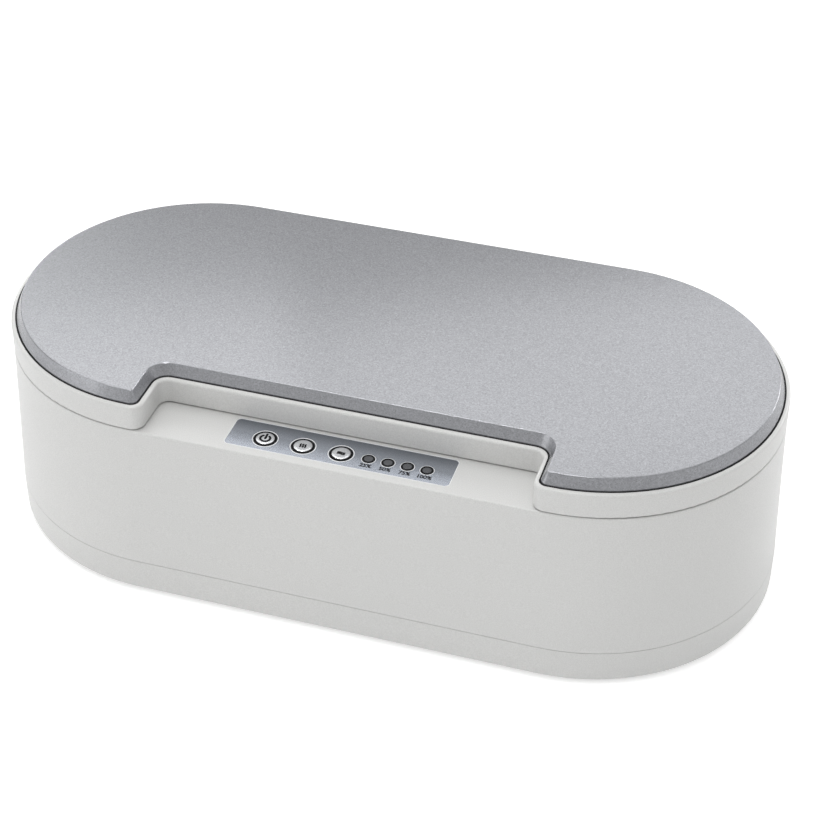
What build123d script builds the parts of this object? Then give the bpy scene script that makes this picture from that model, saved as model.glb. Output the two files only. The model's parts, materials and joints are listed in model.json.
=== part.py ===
from build123d import *
import os
from math import atan, cos, degrees, radians, sin

# UV sanitizer box for phones: a stadium-shaped case with a reflective chamber under a hinged lid.
# Frame: millimetres, +Z up, front at -Y. The origin is the centre of the footprint, on the surface that the
# feet stand on.

os.makedirs("parts", exist_ok=True)

# ---- Driving dimensions ----
BOX_LENGTH = 230.0
BOX_WIDTH = 110.0
FOOT_STAND = 1.0  # the feet lift the base this much
BASE_SEAM_Z = 11.7  # joint between the base cover and the body shell
SEAM_Z = 58.0  # joint between the body shell and the lid
RIM_TOP_Z = 66.0
LID_TOP_Z = 69.5
BODY_FLARE = 2.0  # the body is this much wider each side at the base seam than at the lid seam
WALL = 2.4
CLEARANCE = 0.1

# Front notch, where the lid steps back and leaves a shelf for the controls
NOTCH_HALF = 55.6
NOTCH_DEPTH = 15.7
NOTCH_HORN_RADIUS = 3.5
NOTCH_CORNER_RADIUS = 3.0

# Chamber in the body, measured to the inner face of its liner
CHAMBER_INSET = 8.75
CHAMBER_NOTCH_INSET = 6.1
CHAMBER_HORN_RADIUS = 4.5
CHAMBER_CORNER_RADIUS = 5.6
CHAMBER_FLOOR_Z = 22.0
CHAMBER_CENTRE_Y = 6.5
LINER_WALL = 1.4
LINER_FLOOR = 1.6
FLOOR_RADIUS = 4.0
FLANGE_REACH = 2.65
FLANGE_THICKNESS = 1.0
LIP_TOP_Z = SEAM_Z + 2.5
RIB_HEIGHT = 2.5
DECK_THICKNESS = 2.0

# Lid
SEAM_GAP = 0.3
LEDGE_Z = RIM_TOP_Z - 1.4
LEDGE_THICKNESS = 1.6
LEDGE_INNER_INSET = 8.5
LIP_WIDTH = 1.2
COVER_INSET = 1.7
COVER_HORN_RADIUS = 2.1
COVER_BEVEL_RUN = 1.5
COVER_BEVEL_DROP = 3.2
COVER_EDGE_RADIUS = 0.4
COVER_THICKNESS = 2.0
COVER_SKIRT = 1.6
INNER_PANEL_THICKNESS = 1.5
INNER_PANEL_INSET = WALL + 0.2

# Hinge
HINGE_RADIUS = 3.0
HINGE_Y = BOX_WIDTH / 2 - HINGE_RADIUS
HINGE_Z = SEAM_Z + SEAM_GAP + HINGE_RADIUS
HINGE_STATION_X = 34.0
KNUCKLE_WIDTH = 14.0
EAR_WIDTH = 5.0
EAR_GAP = 0.2
EAR_RADIUS = 2.5
PIN_RADIUS = 1.2
OPEN_ANGLE = 100.0

# Controls
PANEL_LENGTH = 64.4
PANEL_WIDTH = 11.8
PANEL_Y = -46.1
PANEL_RADIUS = 1.3
PANEL_RECESS = 0.8
PANEL_THICKNESS = 0.65
PANEL_GAP = 0.15
CONTROL_Y = -46.9
KEY_X = {"power": -21.8, "disinfect": -10.75, "aroma": 0.3}
KEY_RADIUS = 3.2
KEY_HOLE_RADIUS = 3.4
KEY_TRAVEL = 0.4
LIGHT_X = (8.2, 13.75, 19.3, 24.85)
LIGHT_RADIUS = 1.7
CONTROL_BOARD_Z = 50.0

# Ultraviolet optics
LENS_RADIUS = 6.0
LENS_FLANGE_RADIUS = 7.0
LENS_FLANGE = 0.6
LENS_ROW_HALF = 14.0
LID_LENS_PITCH = 62.0
FLOOR_LENS_HALF = 44.0
LAMP_SIZE = 3.6
LAMP_HEIGHT = 1.0
LAMP_DOME_RADIUS = 1.3
LAMP_DOME = 0.3
LAMP_GAP = 0.1  # between the top of a lamp and its lens

# Aroma well in the chamber floor
AROMA_WELL = [(86.0, 0.0)]
AROMA_RADIUS = 9.0
AROMA_SHOULDER = 0.8
AROMA_WALL = 1.4
AROMA_FLOOR_Z = 14.4
GRILLE_THICKNESS = 1.2

# Electronics and fixings
BOARD_THICKNESS = 1.2
MAIN_BOARD_Z = 11.5
BASE_FLOOR_Z = FOOT_STAND + 2.0
BASE_SCREWS = ((50, 46), (-50, 46), (50, -46), (-50, -46), (106, 0), (-106, 0))
BASE_POST_TOP_Z = 12.9
FEET = ((80, 28), (-80, 28), (80, -28), (-80, -28))
INLET_LENGTH = 8.94
INLET_HEIGHT = 3.16
INLET_DEPTH = 7.35
INLET_FACE_Y = 55.9
INLET_GAP = 0.35  # between the inlet's shell and the body

# ---- Sizes worked out from those ----
DECK_Z = SEAM_Z - DECK_THICKNESS
BODY_DRAFT = degrees(atan(BODY_FLARE / (SEAM_Z - BASE_SEAM_Z)))
COVER_BEVEL = degrees(atan(COVER_BEVEL_RUN / COVER_BEVEL_DROP))
LID_BOTTOM_Z = SEAM_Z + SEAM_GAP
LEDGE_UNDER_Z = LEDGE_Z - LEDGE_THICKNESS
INNER_PANEL_Z = LEDGE_UNDER_Z - INNER_PANEL_THICKNESS
COVER_UNDER_Z = LID_TOP_Z - COVER_THICKNESS
FLOOR_UNDER_Z = CHAMBER_FLOOR_Z - LINER_FLOOR
PANEL_TOP_Z = SEAM_Z - PANEL_RECESS + PANEL_THICKNESS
CONTROL_BOARD_TOP_Z = CONTROL_BOARD_Z + BOARD_THICKNESS
MAIN_BOARD_TOP_Z = MAIN_BOARD_Z + BOARD_THICKNESS
INLET_Z = MAIN_BOARD_TOP_Z + INLET_HEIGHT / 2 + 0.05
LAMP_STACK = LENS_FLANGE + LAMP_GAP + LAMP_DOME + LAMP_HEIGHT
FLOOR_LAMP_BOARD_Z = FLOOR_UNDER_Z - LAMP_STACK - BOARD_THICKNESS
LID_LAMP_BOARD_Z = LEDGE_UNDER_Z + LAMP_STACK
END_CENTRE_X = (BOX_LENGTH - BOX_WIDTH) / 2
STATIONS = (-HINGE_STATION_X, HINGE_STATION_X)
STATION_HALF = KNUCKLE_WIDTH / 2 + EAR_GAP + EAR_WIDTH
EAR_STARTS = [x + offset for x in STATIONS for offset in (-STATION_HALF, KNUCKLE_WIDTH / 2 + EAR_GAP)]


def end_point(side, angle, inset):
    """A point at that inset on a round end: side 1 is the +X end, and the angle runs from its tip."""
    radius = BOX_WIDTH / 2 - inset
    return side * (END_CENTRE_X + radius * cos(radians(angle))), radius * sin(radians(angle))


def mirrored(x, *ys):
    """Places at X and -X for each Y."""
    return [(side * x, y) for y in ys for side in (-1, 1)]


LENS_ROWS = (CHAMBER_CENTRE_Y - LENS_ROW_HALF, CHAMBER_CENTRE_Y + LENS_ROW_HALF)
LID_LENSES = mirrored(LID_LENS_PITCH, *LENS_ROWS) + [(0, y) for y in LENS_ROWS]
FLOOR_LENSES = mirrored(FLOOR_LENS_HALF, *LENS_ROWS)
LID_SCREW_INSET = 5.5
LID_SCREWS = [
    *mirrored(30.0, -BOX_WIDTH / 2 + NOTCH_DEPTH + LID_SCREW_INSET),
    *mirrored(62.0, BOX_WIDTH / 2 - LID_SCREW_INSET),
    *(end_point(side, angle, LID_SCREW_INSET) for side in (-1, 1) for angle in (0, -50)),
]
CATCHES = [end_point(side, -80, 4.9) for side in (-1, 1)]
MAIN_BOARD_POSTS = mirrored(36.0, 0.0, 43.0)
FLOOR_LAMP_POSTS = mirrored(57.0, CHAMBER_CENTRE_Y - 17.0, CHAMBER_CENTRE_Y + 17.0)
LID_LAMP_POSTS = mirrored(72.0, CHAMBER_CENTRE_Y - 19.0, CHAMBER_CENTRE_Y + 19.0)
CONTROL_POSTS = mirrored(37.0, -44.0)


# ---- Shared outlines ----
def stadium(height, inset):
    """The box's plan outline, that far inside it, at that height."""
    with BuildSketch(Plane.XY.offset(height)) as outline:
        SlotOverall(BOX_LENGTH - 2 * inset, BOX_WIDTH - 2 * inset)
    return outline.sketch


def notched(height, inset, notch_inset=None, horn_radius=None, corner_radius=None):
    """The lid's plan outline, that far inside it, at that height.

    The notch may be offset by an amount of its own, and its horns and corners rounded in their own way.
    """
    notch_inset = inset if notch_inset is None else notch_inset
    horn_radius = horn_radius or max(NOTCH_HORN_RADIUS - inset, 1.0)
    corner_radius = corner_radius or NOTCH_CORNER_RADIUS + notch_inset
    half = NOTCH_HALF + notch_inset
    depth = NOTCH_DEPTH + notch_inset
    with BuildSketch(Plane.XY.offset(height)) as outline:
        SlotOverall(BOX_LENGTH - 2 * inset, BOX_WIDTH - 2 * inset)
        with Locations((0, -BOX_WIDTH / 2)):
            Rectangle(2 * half, 2 * depth, mode=Mode.SUBTRACT)
        beside_notch = outline.vertices().filter_by(lambda v: abs(abs(v.X) - half) < 0.01)
        fillet(beside_notch.group_by(Axis.Y)[-1], corner_radius)
        beside_notch = outline.vertices().filter_by(lambda v: abs(abs(v.X) - half) < 0.01)
        fillet(beside_notch.group_by(Axis.Y)[0], horn_radius)
    return outline.sketch


def chamber(height, growth):
    """The chamber's plan outline, that far outside the liner's inner face, at that height."""
    with BuildSketch(Plane.XY.offset(height)) as outline:
        add(notched(0, CHAMBER_INSET, CHAMBER_NOTCH_INSET, CHAMBER_HORN_RADIUS, CHAMBER_CORNER_RADIUS))
        if growth:
            offset(amount=growth, mode=Mode.REPLACE)
    return outline.sketch


def discs(height, places, radius):
    """Circles at those places, at that height."""
    with BuildSketch(Plane.XY.offset(height)) as circles:
        with Locations(*places):
            Circle(radius)
    return circles.sketch


def blocks(height, places, length, width, radius=0.0):
    """Rectangles at those places, at that height."""
    with BuildSketch(Plane.XY.offset(height)) as rectangles:
        with Locations(*places):
            if radius:
                RectangleRounded(length, width, radius)
            else:
                Rectangle(length, width)
    return rectangles.sketch


def hinge_disc(start_x, radius):
    """A circle around the hinge axis, at that X."""
    with BuildSketch(Plane.YZ.offset(start_x)) as circle:
        with Locations((HINGE_Y, HINGE_Z)):
            Circle(radius)
    return circle.sketch


def section_block(start_x, low_y, high_y, low_z, high_z):
    """A rectangle between those Y and Z, at that X."""
    with BuildSketch(Plane.YZ.offset(start_x)) as rectangle:
        with Locations(((low_y + high_y) / 2, (low_z + high_z) / 2)):
            Rectangle(high_y - low_y, high_z - low_z)
    return rectangle.sketch


def screws(seat_z, tip_z, places, shank_radius, head_radius, head_height):
    """Adds screws with a pan head, from the seat under the head to the tip."""
    up = 1 if tip_z > seat_z else -1
    extrude(discs(seat_z, places, head_radius), amount=-up * head_height)
    extrude(discs(seat_z, places, shank_radius), amount=tip_z - seat_z)


def save(piece, name):
    """Labels a finished piece and writes it."""
    piece.part.label = name
    export_step(piece.part, f"parts/{name}.step")


# ---- Body shell: flared wall, deck with the control shelf, hinge ears, screw bosses ----
BOSS_RADIUS = 3.5
BOSS_LOW_Z = BASE_POST_TOP_Z + 0.1
BOSS_TOP_Z = 19.6
BOSS_PILOT_RADIUS = 1.3
BOSS_PILOT = 5.6
BOSS_RIB_LOW_Z = 14.2
BOSS_RIB_REACH = 8.6
BOSS_RIB_WIDTH = 3.0
SHELF_EDGE_RADIUS = 0.5
CONTROL_POST_RADIUS = 2.4
CONTROL_PILOT_RADIUS = 0.9
CONTROL_PILOT = 3.6
HINGE_BLOCK_DEPTH = 6.0
HINGE_BLOCK_INSET = 1.0  # the block ends this far inside the rear wall's face
EAR_HEEL = 0.5  # the ear's web reaches this far behind the pin
CATCH_RADIUS = 1.6
CATCH_CUP_RADIUS = 2.2
CATCH_DEPTH = 3.0
SENSOR_ANGLE = -71.0
SENSOR_PLACE = Location((*end_point(1, SENSOR_ANGLE, 4.9), 0), (0, 0, SENSOR_ANGLE + 90.0))
SENSOR_LENGTH = 4.1
SENSOR_WIDTH = 2.6
SENSOR_HEIGHT = 1.5
SENSOR_WALL = 1.0
STOP_SLOPE = OPEN_ANGLE - 90.0
STOP_DROP = 0.6  # how far the rear edge is cut down, so that the open lid leans on the slope
STOP_START_Y = BOX_WIDTH / 2 - STOP_DROP / sin(radians(STOP_SLOPE))
STOP_REACH = 1.0  # the cut runs this far past the rear wall
STOP_HALF_LENGTH = END_CENTRE_X + 6.0
INLET_CUT = 8.0

with BuildPart() as body_shell:
    extrude(stadium(BASE_SEAM_Z, -BODY_FLARE), amount=SEAM_Z - BASE_SEAM_Z, taper=BODY_DRAFT)
    fillet(body_shell.edges().group_by(Axis.Z)[-1], radius=SHELF_EDGE_RADIUS)
    cavity = stadium(BASE_SEAM_Z, WALL - BODY_FLARE)
    extrude(cavity, amount=DECK_Z - BASE_SEAM_Z, taper=BODY_DRAFT, mode=Mode.SUBTRACT)
    extrude(chamber(DECK_Z, LINER_WALL + CLEARANCE), amount=DECK_THICKNESS, mode=Mode.SUBTRACT)
    flange_seat = chamber(SEAM_Z, FLANGE_REACH + CLEARANCE)
    extrude(flange_seat, amount=-FLANGE_THICKNESS, mode=Mode.SUBTRACT)
    # Recess for the printed panel, with the key and light holes through the shelf
    recess_size = (PANEL_LENGTH + 2 * PANEL_GAP, PANEL_WIDTH + 2 * PANEL_GAP, PANEL_RADIUS + PANEL_GAP)
    extrude(blocks(SEAM_Z, [(0, PANEL_Y)], *recess_size), amount=-PANEL_RECESS, mode=Mode.SUBTRACT)
    key_holes = discs(DECK_Z, [(x, CONTROL_Y) for x in KEY_X.values()], KEY_HOLE_RADIUS)
    extrude(key_holes, amount=DECK_THICKNESS, mode=Mode.SUBTRACT)
    light_holes = discs(DECK_Z, [(x, CONTROL_Y) for x in LIGHT_X], LIGHT_RADIUS + CLEARANCE)
    extrude(light_holes, amount=DECK_THICKNESS, mode=Mode.SUBTRACT)
    # Posts that carry the control board
    posts = discs(CONTROL_BOARD_TOP_Z, CONTROL_POSTS, CONTROL_POST_RADIUS)
    extrude(posts, amount=DECK_Z - CONTROL_BOARD_TOP_Z)
    pilots = discs(CONTROL_BOARD_TOP_Z, CONTROL_POSTS, CONTROL_PILOT_RADIUS)
    extrude(pilots, amount=CONTROL_PILOT, mode=Mode.SUBTRACT)
    # Cups for the catch discs and a frame for the lid sensor, under the deck
    extrude(discs(DECK_Z, CATCHES, CATCH_CUP_RADIUS), amount=-CATCH_DEPTH)
    extrude(discs(DECK_Z, CATCHES, CATCH_RADIUS), amount=-CATCH_DEPTH, mode=Mode.SUBTRACT)
    for growth, mode in ((2 * SENSOR_WALL, Mode.ADD), (CLEARANCE, Mode.SUBTRACT)):
        frame = blocks(DECK_Z, [SENSOR_PLACE], SENSOR_LENGTH + growth, SENSOR_WIDTH + growth)
        extrude(frame, amount=-SENSOR_HEIGHT, mode=mode)
    # Screw bosses, each tied to the wall by a rib
    for x, y in BASE_SCREWS:
        outward = Vector(x, 0) if y == 0 else Vector(0, y)
        middle = Vector(x, y) + outward.normalized() * BOSS_RIB_REACH / 2
        size = (BOSS_RIB_REACH, BOSS_RIB_WIDTH) if y == 0 else (BOSS_RIB_WIDTH, BOSS_RIB_REACH)
        extrude(blocks(BOSS_RIB_LOW_Z, [middle], *size), amount=BOSS_TOP_Z - BOSS_RIB_LOW_Z)
    extrude(discs(BOSS_LOW_Z, BASE_SCREWS, BOSS_RADIUS), amount=BOSS_TOP_Z - BOSS_LOW_Z)
    extrude(discs(BOSS_LOW_Z, BASE_SCREWS, BOSS_PILOT_RADIUS), amount=BOSS_PILOT, mode=Mode.SUBTRACT)
    # Hinge: a block under the deck carries each ear
    for start_x in EAR_STARTS:
        front_y = HINGE_Y - EAR_RADIUS
        rear_y = BOX_WIDTH / 2 - HINGE_BLOCK_INSET
        extrude(section_block(start_x, front_y, rear_y, DECK_Z - HINGE_BLOCK_DEPTH, DECK_Z), amount=EAR_WIDTH)
        extrude(section_block(start_x, front_y, HINGE_Y + EAR_HEEL, DECK_Z, HINGE_Z), amount=EAR_WIDTH)
        extrude(hinge_disc(start_x, EAR_RADIUS), amount=EAR_WIDTH)
        extrude(hinge_disc(start_x, PIN_RADIUS), amount=EAR_WIDTH, mode=Mode.SUBTRACT)
    # Slope that the open lid leans on
    with BuildSketch(Plane.YZ) as slope:
        with BuildLine():
            Polyline(
                (STOP_START_Y, SEAM_Z),
                (BOX_WIDTH / 2 + STOP_REACH, SEAM_Z),
                (BOX_WIDTH / 2 + STOP_REACH, SEAM_Z - STOP_DROP - STOP_REACH * sin(radians(STOP_SLOPE))),
                close=True,
            )
        make_face()
    extrude(amount=STOP_HALF_LENGTH, both=True, mode=Mode.SUBTRACT)
    # Opening for the power inlet
    with BuildSketch(Plane.XZ.offset(INLET_CUT / 2 - BOX_WIDTH / 2)):
        with Locations((0, INLET_Z)):
            SlotOverall(INLET_LENGTH + 2 * INLET_GAP, INLET_HEIGHT + 2 * INLET_GAP)
    extrude(amount=-INLET_CUT, mode=Mode.SUBTRACT)
save(body_shell, "body_shell")

# ---- Base cover: shallow tray with a tongue inside the body wall ----
FOOT_RADIUS = 6.0
FOOT_RECESS = 0.8
BASE_SEAM_GAP = 0.15
BASE_EDGE_RADIUS = 1.5
TONGUE_HEIGHT = 2.0
TONGUE_WALL = 1.2
COUNTERBORE_DEPTH = 4.0
TONGUE_GAP = 0.2
BASE_RIB_WIDTH = 1.4
BASE_RIB_HEIGHT = 3.0
BASE_RIBS = (((-62, 0), BASE_RIB_WIDTH, 106), ((62, 0), BASE_RIB_WIDTH, 106), ((0, -18), 188, BASE_RIB_WIDTH))
BOARD_POST_RADIUS = 3.0
BOARD_PILOT_RADIUS = 1.0
BOARD_PILOT = 5.0
SCREW_HOLE_RADIUS = 1.6
COUNTERBORE_RADIUS = 3.2

with BuildPart() as base_cover:
    extrude(stadium(FOOT_STAND, -BODY_FLARE), amount=BASE_SEAM_Z - BASE_SEAM_GAP - FOOT_STAND)
    fillet(base_cover.edges().group_by(Axis.Z)[0], radius=BASE_EDGE_RADIUS)
    tongue_inset = WALL - BODY_FLARE + TONGUE_GAP
    extrude(stadium(BASE_SEAM_Z - BASE_SEAM_GAP, tongue_inset), amount=TONGUE_HEIGHT)
    extrude(stadium(BASE_FLOOR_Z, tongue_inset + TONGUE_WALL), amount=BASE_SEAM_Z, mode=Mode.SUBTRACT)
    # Ribs that stiffen the floor, and the posts for the body screws and the main board
    for place, length, width in BASE_RIBS:
        extrude(blocks(BASE_FLOOR_Z, [place], length, width), amount=BASE_RIB_HEIGHT)
    extrude(discs(BASE_FLOOR_Z, BASE_SCREWS, BOSS_RADIUS + 0.5), amount=BASE_POST_TOP_Z - BASE_FLOOR_Z)
    extrude(discs(BASE_FLOOR_Z, MAIN_BOARD_POSTS, BOARD_POST_RADIUS), amount=MAIN_BOARD_Z - BASE_FLOOR_Z)
    pilots = discs(MAIN_BOARD_Z, MAIN_BOARD_POSTS, BOARD_PILOT_RADIUS)
    extrude(pilots, amount=-BOARD_PILOT, mode=Mode.SUBTRACT)
    with Locations(*[Location((x, y, FOOT_STAND), (180, 0, 0)) for x, y in BASE_SCREWS]):
        CounterBoreHole(SCREW_HOLE_RADIUS, COUNTERBORE_RADIUS, COUNTERBORE_DEPTH, BASE_POST_TOP_Z)
    extrude(discs(FOOT_STAND, FEET, FOOT_RADIUS + CLEARANCE), amount=FOOT_RECESS, mode=Mode.SUBTRACT)
    # Gap in the tongue for the power inlet
    start_x = -INLET_LENGTH / 2 - TONGUE_WALL
    rear_y = BOX_WIDTH / 2 + BODY_FLARE
    front_y = rear_y - 2 * WALL - TONGUE_WALL
    tongue_gap = section_block(start_x, front_y, rear_y, BASE_SEAM_Z, BASE_SEAM_Z + TONGUE_HEIGHT)
    extrude(tongue_gap, amount=-2 * start_x, mode=Mode.SUBTRACT)
save(base_cover, "base_cover")

# ---- Rubber feet and base screws ----
with BuildPart() as rubber_feet:
    extrude(discs(0, FEET, FOOT_RADIUS), amount=FOOT_STAND + FOOT_RECESS)
    chamfer(rubber_feet.edges().group_by(Axis.Z)[0], length=0.4)
save(rubber_feet, "rubber_feet")

with BuildPart() as base_screws:
    screws(FOOT_STAND + COUNTERBORE_DEPTH, BOSS_LOW_Z + BOSS_PILOT - 0.5, BASE_SCREWS, 1.25, 2.8, 2.0)
save(base_screws, "base_screws")

# ---- Chamber liner: a reflective tub with phone ribs, lens holes and the aroma well ----
PHONE_RIB_X = (-66, -22, 22, 66)
PHONE_RIB_LENGTH = 58.0
PHONE_RIB_WIDTH = 2.0
LAMP_POST_RADIUS = 2.2
LAMP_PILOT_RADIUS = 1.0
LAMP_HOLE_RADIUS = 1.1

with BuildPart() as chamber_liner:
    extrude(chamber(FLOOR_UNDER_Z, LINER_WALL), amount=LIP_TOP_Z - FLOOR_UNDER_Z)
    fillet(chamber_liner.edges().group_by(Axis.Z)[0], radius=FLOOR_RADIUS + 1.0)
    extrude(chamber(SEAM_Z, FLANGE_REACH), amount=-FLANGE_THICKNESS)
    extrude(chamber(LIP_TOP_Z, 0), amount=CHAMBER_FLOOR_Z - LIP_TOP_Z, mode=Mode.SUBTRACT)
    at_floor = (CHAMBER_FLOOR_Z - 0.01, CHAMBER_FLOOR_Z + 0.01)
    fillet(chamber_liner.edges().filter_by_position(Axis.Z, *at_floor), radius=FLOOR_RADIUS)
    # Ribs that hold a phone clear of the floor
    with BuildSketch(Plane.XY.offset(CHAMBER_FLOOR_Z - 0.5)):
        with Locations(*[(x, CHAMBER_CENTRE_Y) for x in PHONE_RIB_X]):
            SlotOverall(PHONE_RIB_LENGTH, PHONE_RIB_WIDTH, rotation=90)
    extrude(amount=RIB_HEIGHT + 0.5)
    # Posts that carry the lower lamp board, and the holes for its lenses
    post_low_z = FLOOR_LAMP_BOARD_Z + BOARD_THICKNESS
    extrude(discs(post_low_z, FLOOR_LAMP_POSTS, LAMP_POST_RADIUS), amount=FLOOR_UNDER_Z - post_low_z)
    pilots = discs(post_low_z, FLOOR_LAMP_POSTS, LAMP_PILOT_RADIUS)
    extrude(pilots, amount=FLOOR_UNDER_Z - post_low_z, mode=Mode.SUBTRACT)
    lens_holes = discs(FLOOR_UNDER_Z, FLOOR_LENSES, LENS_RADIUS + CLEARANCE)
    extrude(lens_holes, amount=LINER_FLOOR, mode=Mode.SUBTRACT)
    # Aroma well, with a shoulder for its grille
    cup = discs(FLOOR_UNDER_Z, AROMA_WELL, AROMA_RADIUS + AROMA_WALL)
    extrude(cup, amount=AROMA_FLOOR_Z - AROMA_WALL - FLOOR_UNDER_Z)
    well = discs(CHAMBER_FLOOR_Z, AROMA_WELL, AROMA_RADIUS - AROMA_SHOULDER)
    extrude(well, amount=AROMA_FLOOR_Z - CHAMBER_FLOOR_Z, mode=Mode.SUBTRACT)
    extrude(discs(CHAMBER_FLOOR_Z, AROMA_WELL, AROMA_RADIUS), amount=-GRILLE_THICKNESS, mode=Mode.SUBTRACT)
save(chamber_liner, "chamber_liner")

# ---- Aroma parts: perforated grille, scented pad, heating disc ----
GRILLE_RINGS = ((3.0, 6), (5.9, 12))
GRILLE_HOLE_RADIUS = 0.85
PAD_HEIGHT = 4.0
HEATER_RADIUS = 7.0
HEATER_THICKNESS = 0.8

with BuildPart() as aroma_grille:
    extrude(discs(CHAMBER_FLOOR_Z, AROMA_WELL, AROMA_RADIUS - CLEARANCE / 2), amount=-GRILLE_THICKNESS)
    chamfer(aroma_grille.edges().group_by(Axis.Z)[-1], length=0.3)
    with BuildSketch(Plane.XY.offset(CHAMBER_FLOOR_Z)):
        with Locations(*AROMA_WELL):
            Circle(GRILLE_HOLE_RADIUS)
            for ring_radius, count in GRILLE_RINGS:
                with PolarLocations(ring_radius, count):
                    Circle(GRILLE_HOLE_RADIUS)
    extrude(amount=-GRILLE_THICKNESS, mode=Mode.SUBTRACT)
save(aroma_grille, "aroma_grille")

with BuildPart() as aroma_pad:
    pad_radius = AROMA_RADIUS - AROMA_SHOULDER - 3 * CLEARANCE
    extrude(discs(AROMA_FLOOR_Z, AROMA_WELL, pad_radius), amount=PAD_HEIGHT)
    chamfer(aroma_pad.edges().group_by(Axis.Z)[-1], length=0.6)
save(aroma_pad, "aroma_pad")

with BuildPart() as aroma_heater:
    extrude(discs(AROMA_FLOOR_Z - AROMA_WALL, AROMA_WELL, HEATER_RADIUS), amount=-HEATER_THICKNESS)
save(aroma_heater, "aroma_heater")


# ---- Ultraviolet lamps: lens, lamp and board, the same stack in the floor and in the lid ----
LENS_CHAMFER = 0.3
LAMP_BOARD_RADIUS = 2.5
FLOOR_LAMP_BOARD_SIZE = (120.0, 40.0, LAMP_BOARD_RADIUS)
LID_LAMP_BOARD_SIZE = (150.0, 44.0, LAMP_BOARD_RADIUS)


def lenses(flange_z, places, out, wall):
    """Adds lenses with a flange seated at flange_z, pointing out (1 up, -1 down) through a wall."""
    extrude(discs(flange_z, places, LENS_FLANGE_RADIUS), amount=-out * LENS_FLANGE)
    extrude(discs(flange_z, places, LENS_RADIUS), amount=out * (wall - CLEARANCE))


def lamps(board_z, places, out):
    """Adds square lamps with a round dome, standing on a board face at board_z."""
    extrude(blocks(board_z, places, LAMP_SIZE, LAMP_SIZE), amount=out * LAMP_HEIGHT)
    extrude(discs(board_z + out * LAMP_HEIGHT, places, LAMP_DOME_RADIUS), amount=out * LAMP_DOME)


with BuildPart() as lower_lenses:
    lenses(FLOOR_UNDER_Z, FLOOR_LENSES, 1, LINER_FLOOR)
    chamfer(lower_lenses.edges().group_by(Axis.Z)[-1], length=LENS_CHAMFER)
save(lower_lenses, "lower_lenses")

with BuildPart() as lower_lamps:
    lamps(FLOOR_LAMP_BOARD_Z + BOARD_THICKNESS, FLOOR_LENSES, 1)
save(lower_lamps, "lower_uv_lamps")

with BuildPart() as lower_lamp_board:
    board = blocks(FLOOR_LAMP_BOARD_Z, [(0, CHAMBER_CENTRE_Y)], *FLOOR_LAMP_BOARD_SIZE)
    extrude(board, amount=BOARD_THICKNESS)
    holes = discs(FLOOR_LAMP_BOARD_Z, FLOOR_LAMP_POSTS, LAMP_HOLE_RADIUS)
    extrude(holes, amount=BOARD_THICKNESS, mode=Mode.SUBTRACT)
save(lower_lamp_board, "lower_lamp_board")

with BuildPart() as lid_lenses:
    lenses(LEDGE_UNDER_Z, LID_LENSES, -1, INNER_PANEL_THICKNESS)
    chamfer(lid_lenses.edges().group_by(Axis.Z)[0], length=LENS_CHAMFER)
save(lid_lenses, "lid_lenses")

with BuildPart() as lid_lamps:
    lamps(LID_LAMP_BOARD_Z, LID_LENSES, -1)
save(lid_lamps, "lid_uv_lamps")

with BuildPart() as lid_lamp_board:
    board = blocks(LID_LAMP_BOARD_Z, [(0, CHAMBER_CENTRE_Y)], *LID_LAMP_BOARD_SIZE)
    extrude(board, amount=BOARD_THICKNESS)
    holes = discs(LID_LAMP_BOARD_Z, LID_LAMP_POSTS, LAMP_HOLE_RADIUS)
    extrude(holes, amount=BOARD_THICKNESS, mode=Mode.SUBTRACT)
save(lid_lamp_board, "lid_lamp_board")

# ---- Main board with its components and the power inlet ----
MAIN_BOARD_SIZE = (84.0, 58.0, 2.0)
MAIN_BOARD_Y = 23.5
BOARD_HOLE_RADIUS = 1.1
PROCESSOR_PLACE = (-6.0, 12.0)
DRIVER_PLACES = [(14.0, 20.0), (14.0, 30.0)]
CHARGER_PLACE = (-20.0, 34.0)
CAPACITOR_PLACES = [(-28.0, 14.0), (-28.0, 24.0), (26.0, 12.0)]
COIL_PLACES = [(0.0, 27.0), (0.0, 37.0)]
COIL_SIZE = (7.2, 7.2, 1.5)
BUZZER_PLACES = [(28.0, 30.0)]
BUZZER_HEIGHT = 3.4
RIBBON_X = -20.0
RIBBON_WIDTH = 10.0
RIBBON_THICKNESS = 0.5
RIBBON_DOWN_Y = -39.0
RIBBON_ALONG_Z = MAIN_BOARD_TOP_Z + 1.4
RIBBON_BEND = 5.0
CONNECTOR_HEIGHT = 2.6
CONNECTOR_WIDTH = 4.5
MAIN_CONNECTOR_Y = -2.6

with BuildPart() as main_board:
    extrude(blocks(MAIN_BOARD_Z, [(0, MAIN_BOARD_Y)], *MAIN_BOARD_SIZE), amount=BOARD_THICKNESS)
    holes = discs(MAIN_BOARD_Z, MAIN_BOARD_POSTS, BOARD_HOLE_RADIUS)
    extrude(holes, amount=BOARD_THICKNESS, mode=Mode.SUBTRACT)
save(main_board, "main_board")

with BuildPart() as board_chips:
    extrude(blocks(MAIN_BOARD_TOP_Z, [PROCESSOR_PLACE], 7, 7, 0.4), amount=1.0)
    extrude(blocks(MAIN_BOARD_TOP_Z, DRIVER_PLACES, 5, 6), amount=1.5)
    extrude(blocks(MAIN_BOARD_TOP_Z, [CHARGER_PLACE], 6.5, 9), amount=2.3)
save(board_chips, "main_board_chips")

with BuildPart() as board_capacitors:
    extrude(discs(MAIN_BOARD_TOP_Z, CAPACITOR_PLACES, 2.8), amount=3.6)
    chamfer(board_capacitors.edges().group_by(Axis.Z)[-1], length=0.3)
save(board_capacitors, "main_board_capacitors")

with BuildPart() as board_coils:
    extrude(blocks(MAIN_BOARD_TOP_Z, COIL_PLACES, *COIL_SIZE), amount=3.2)
save(board_coils, "main_board_coils")

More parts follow.
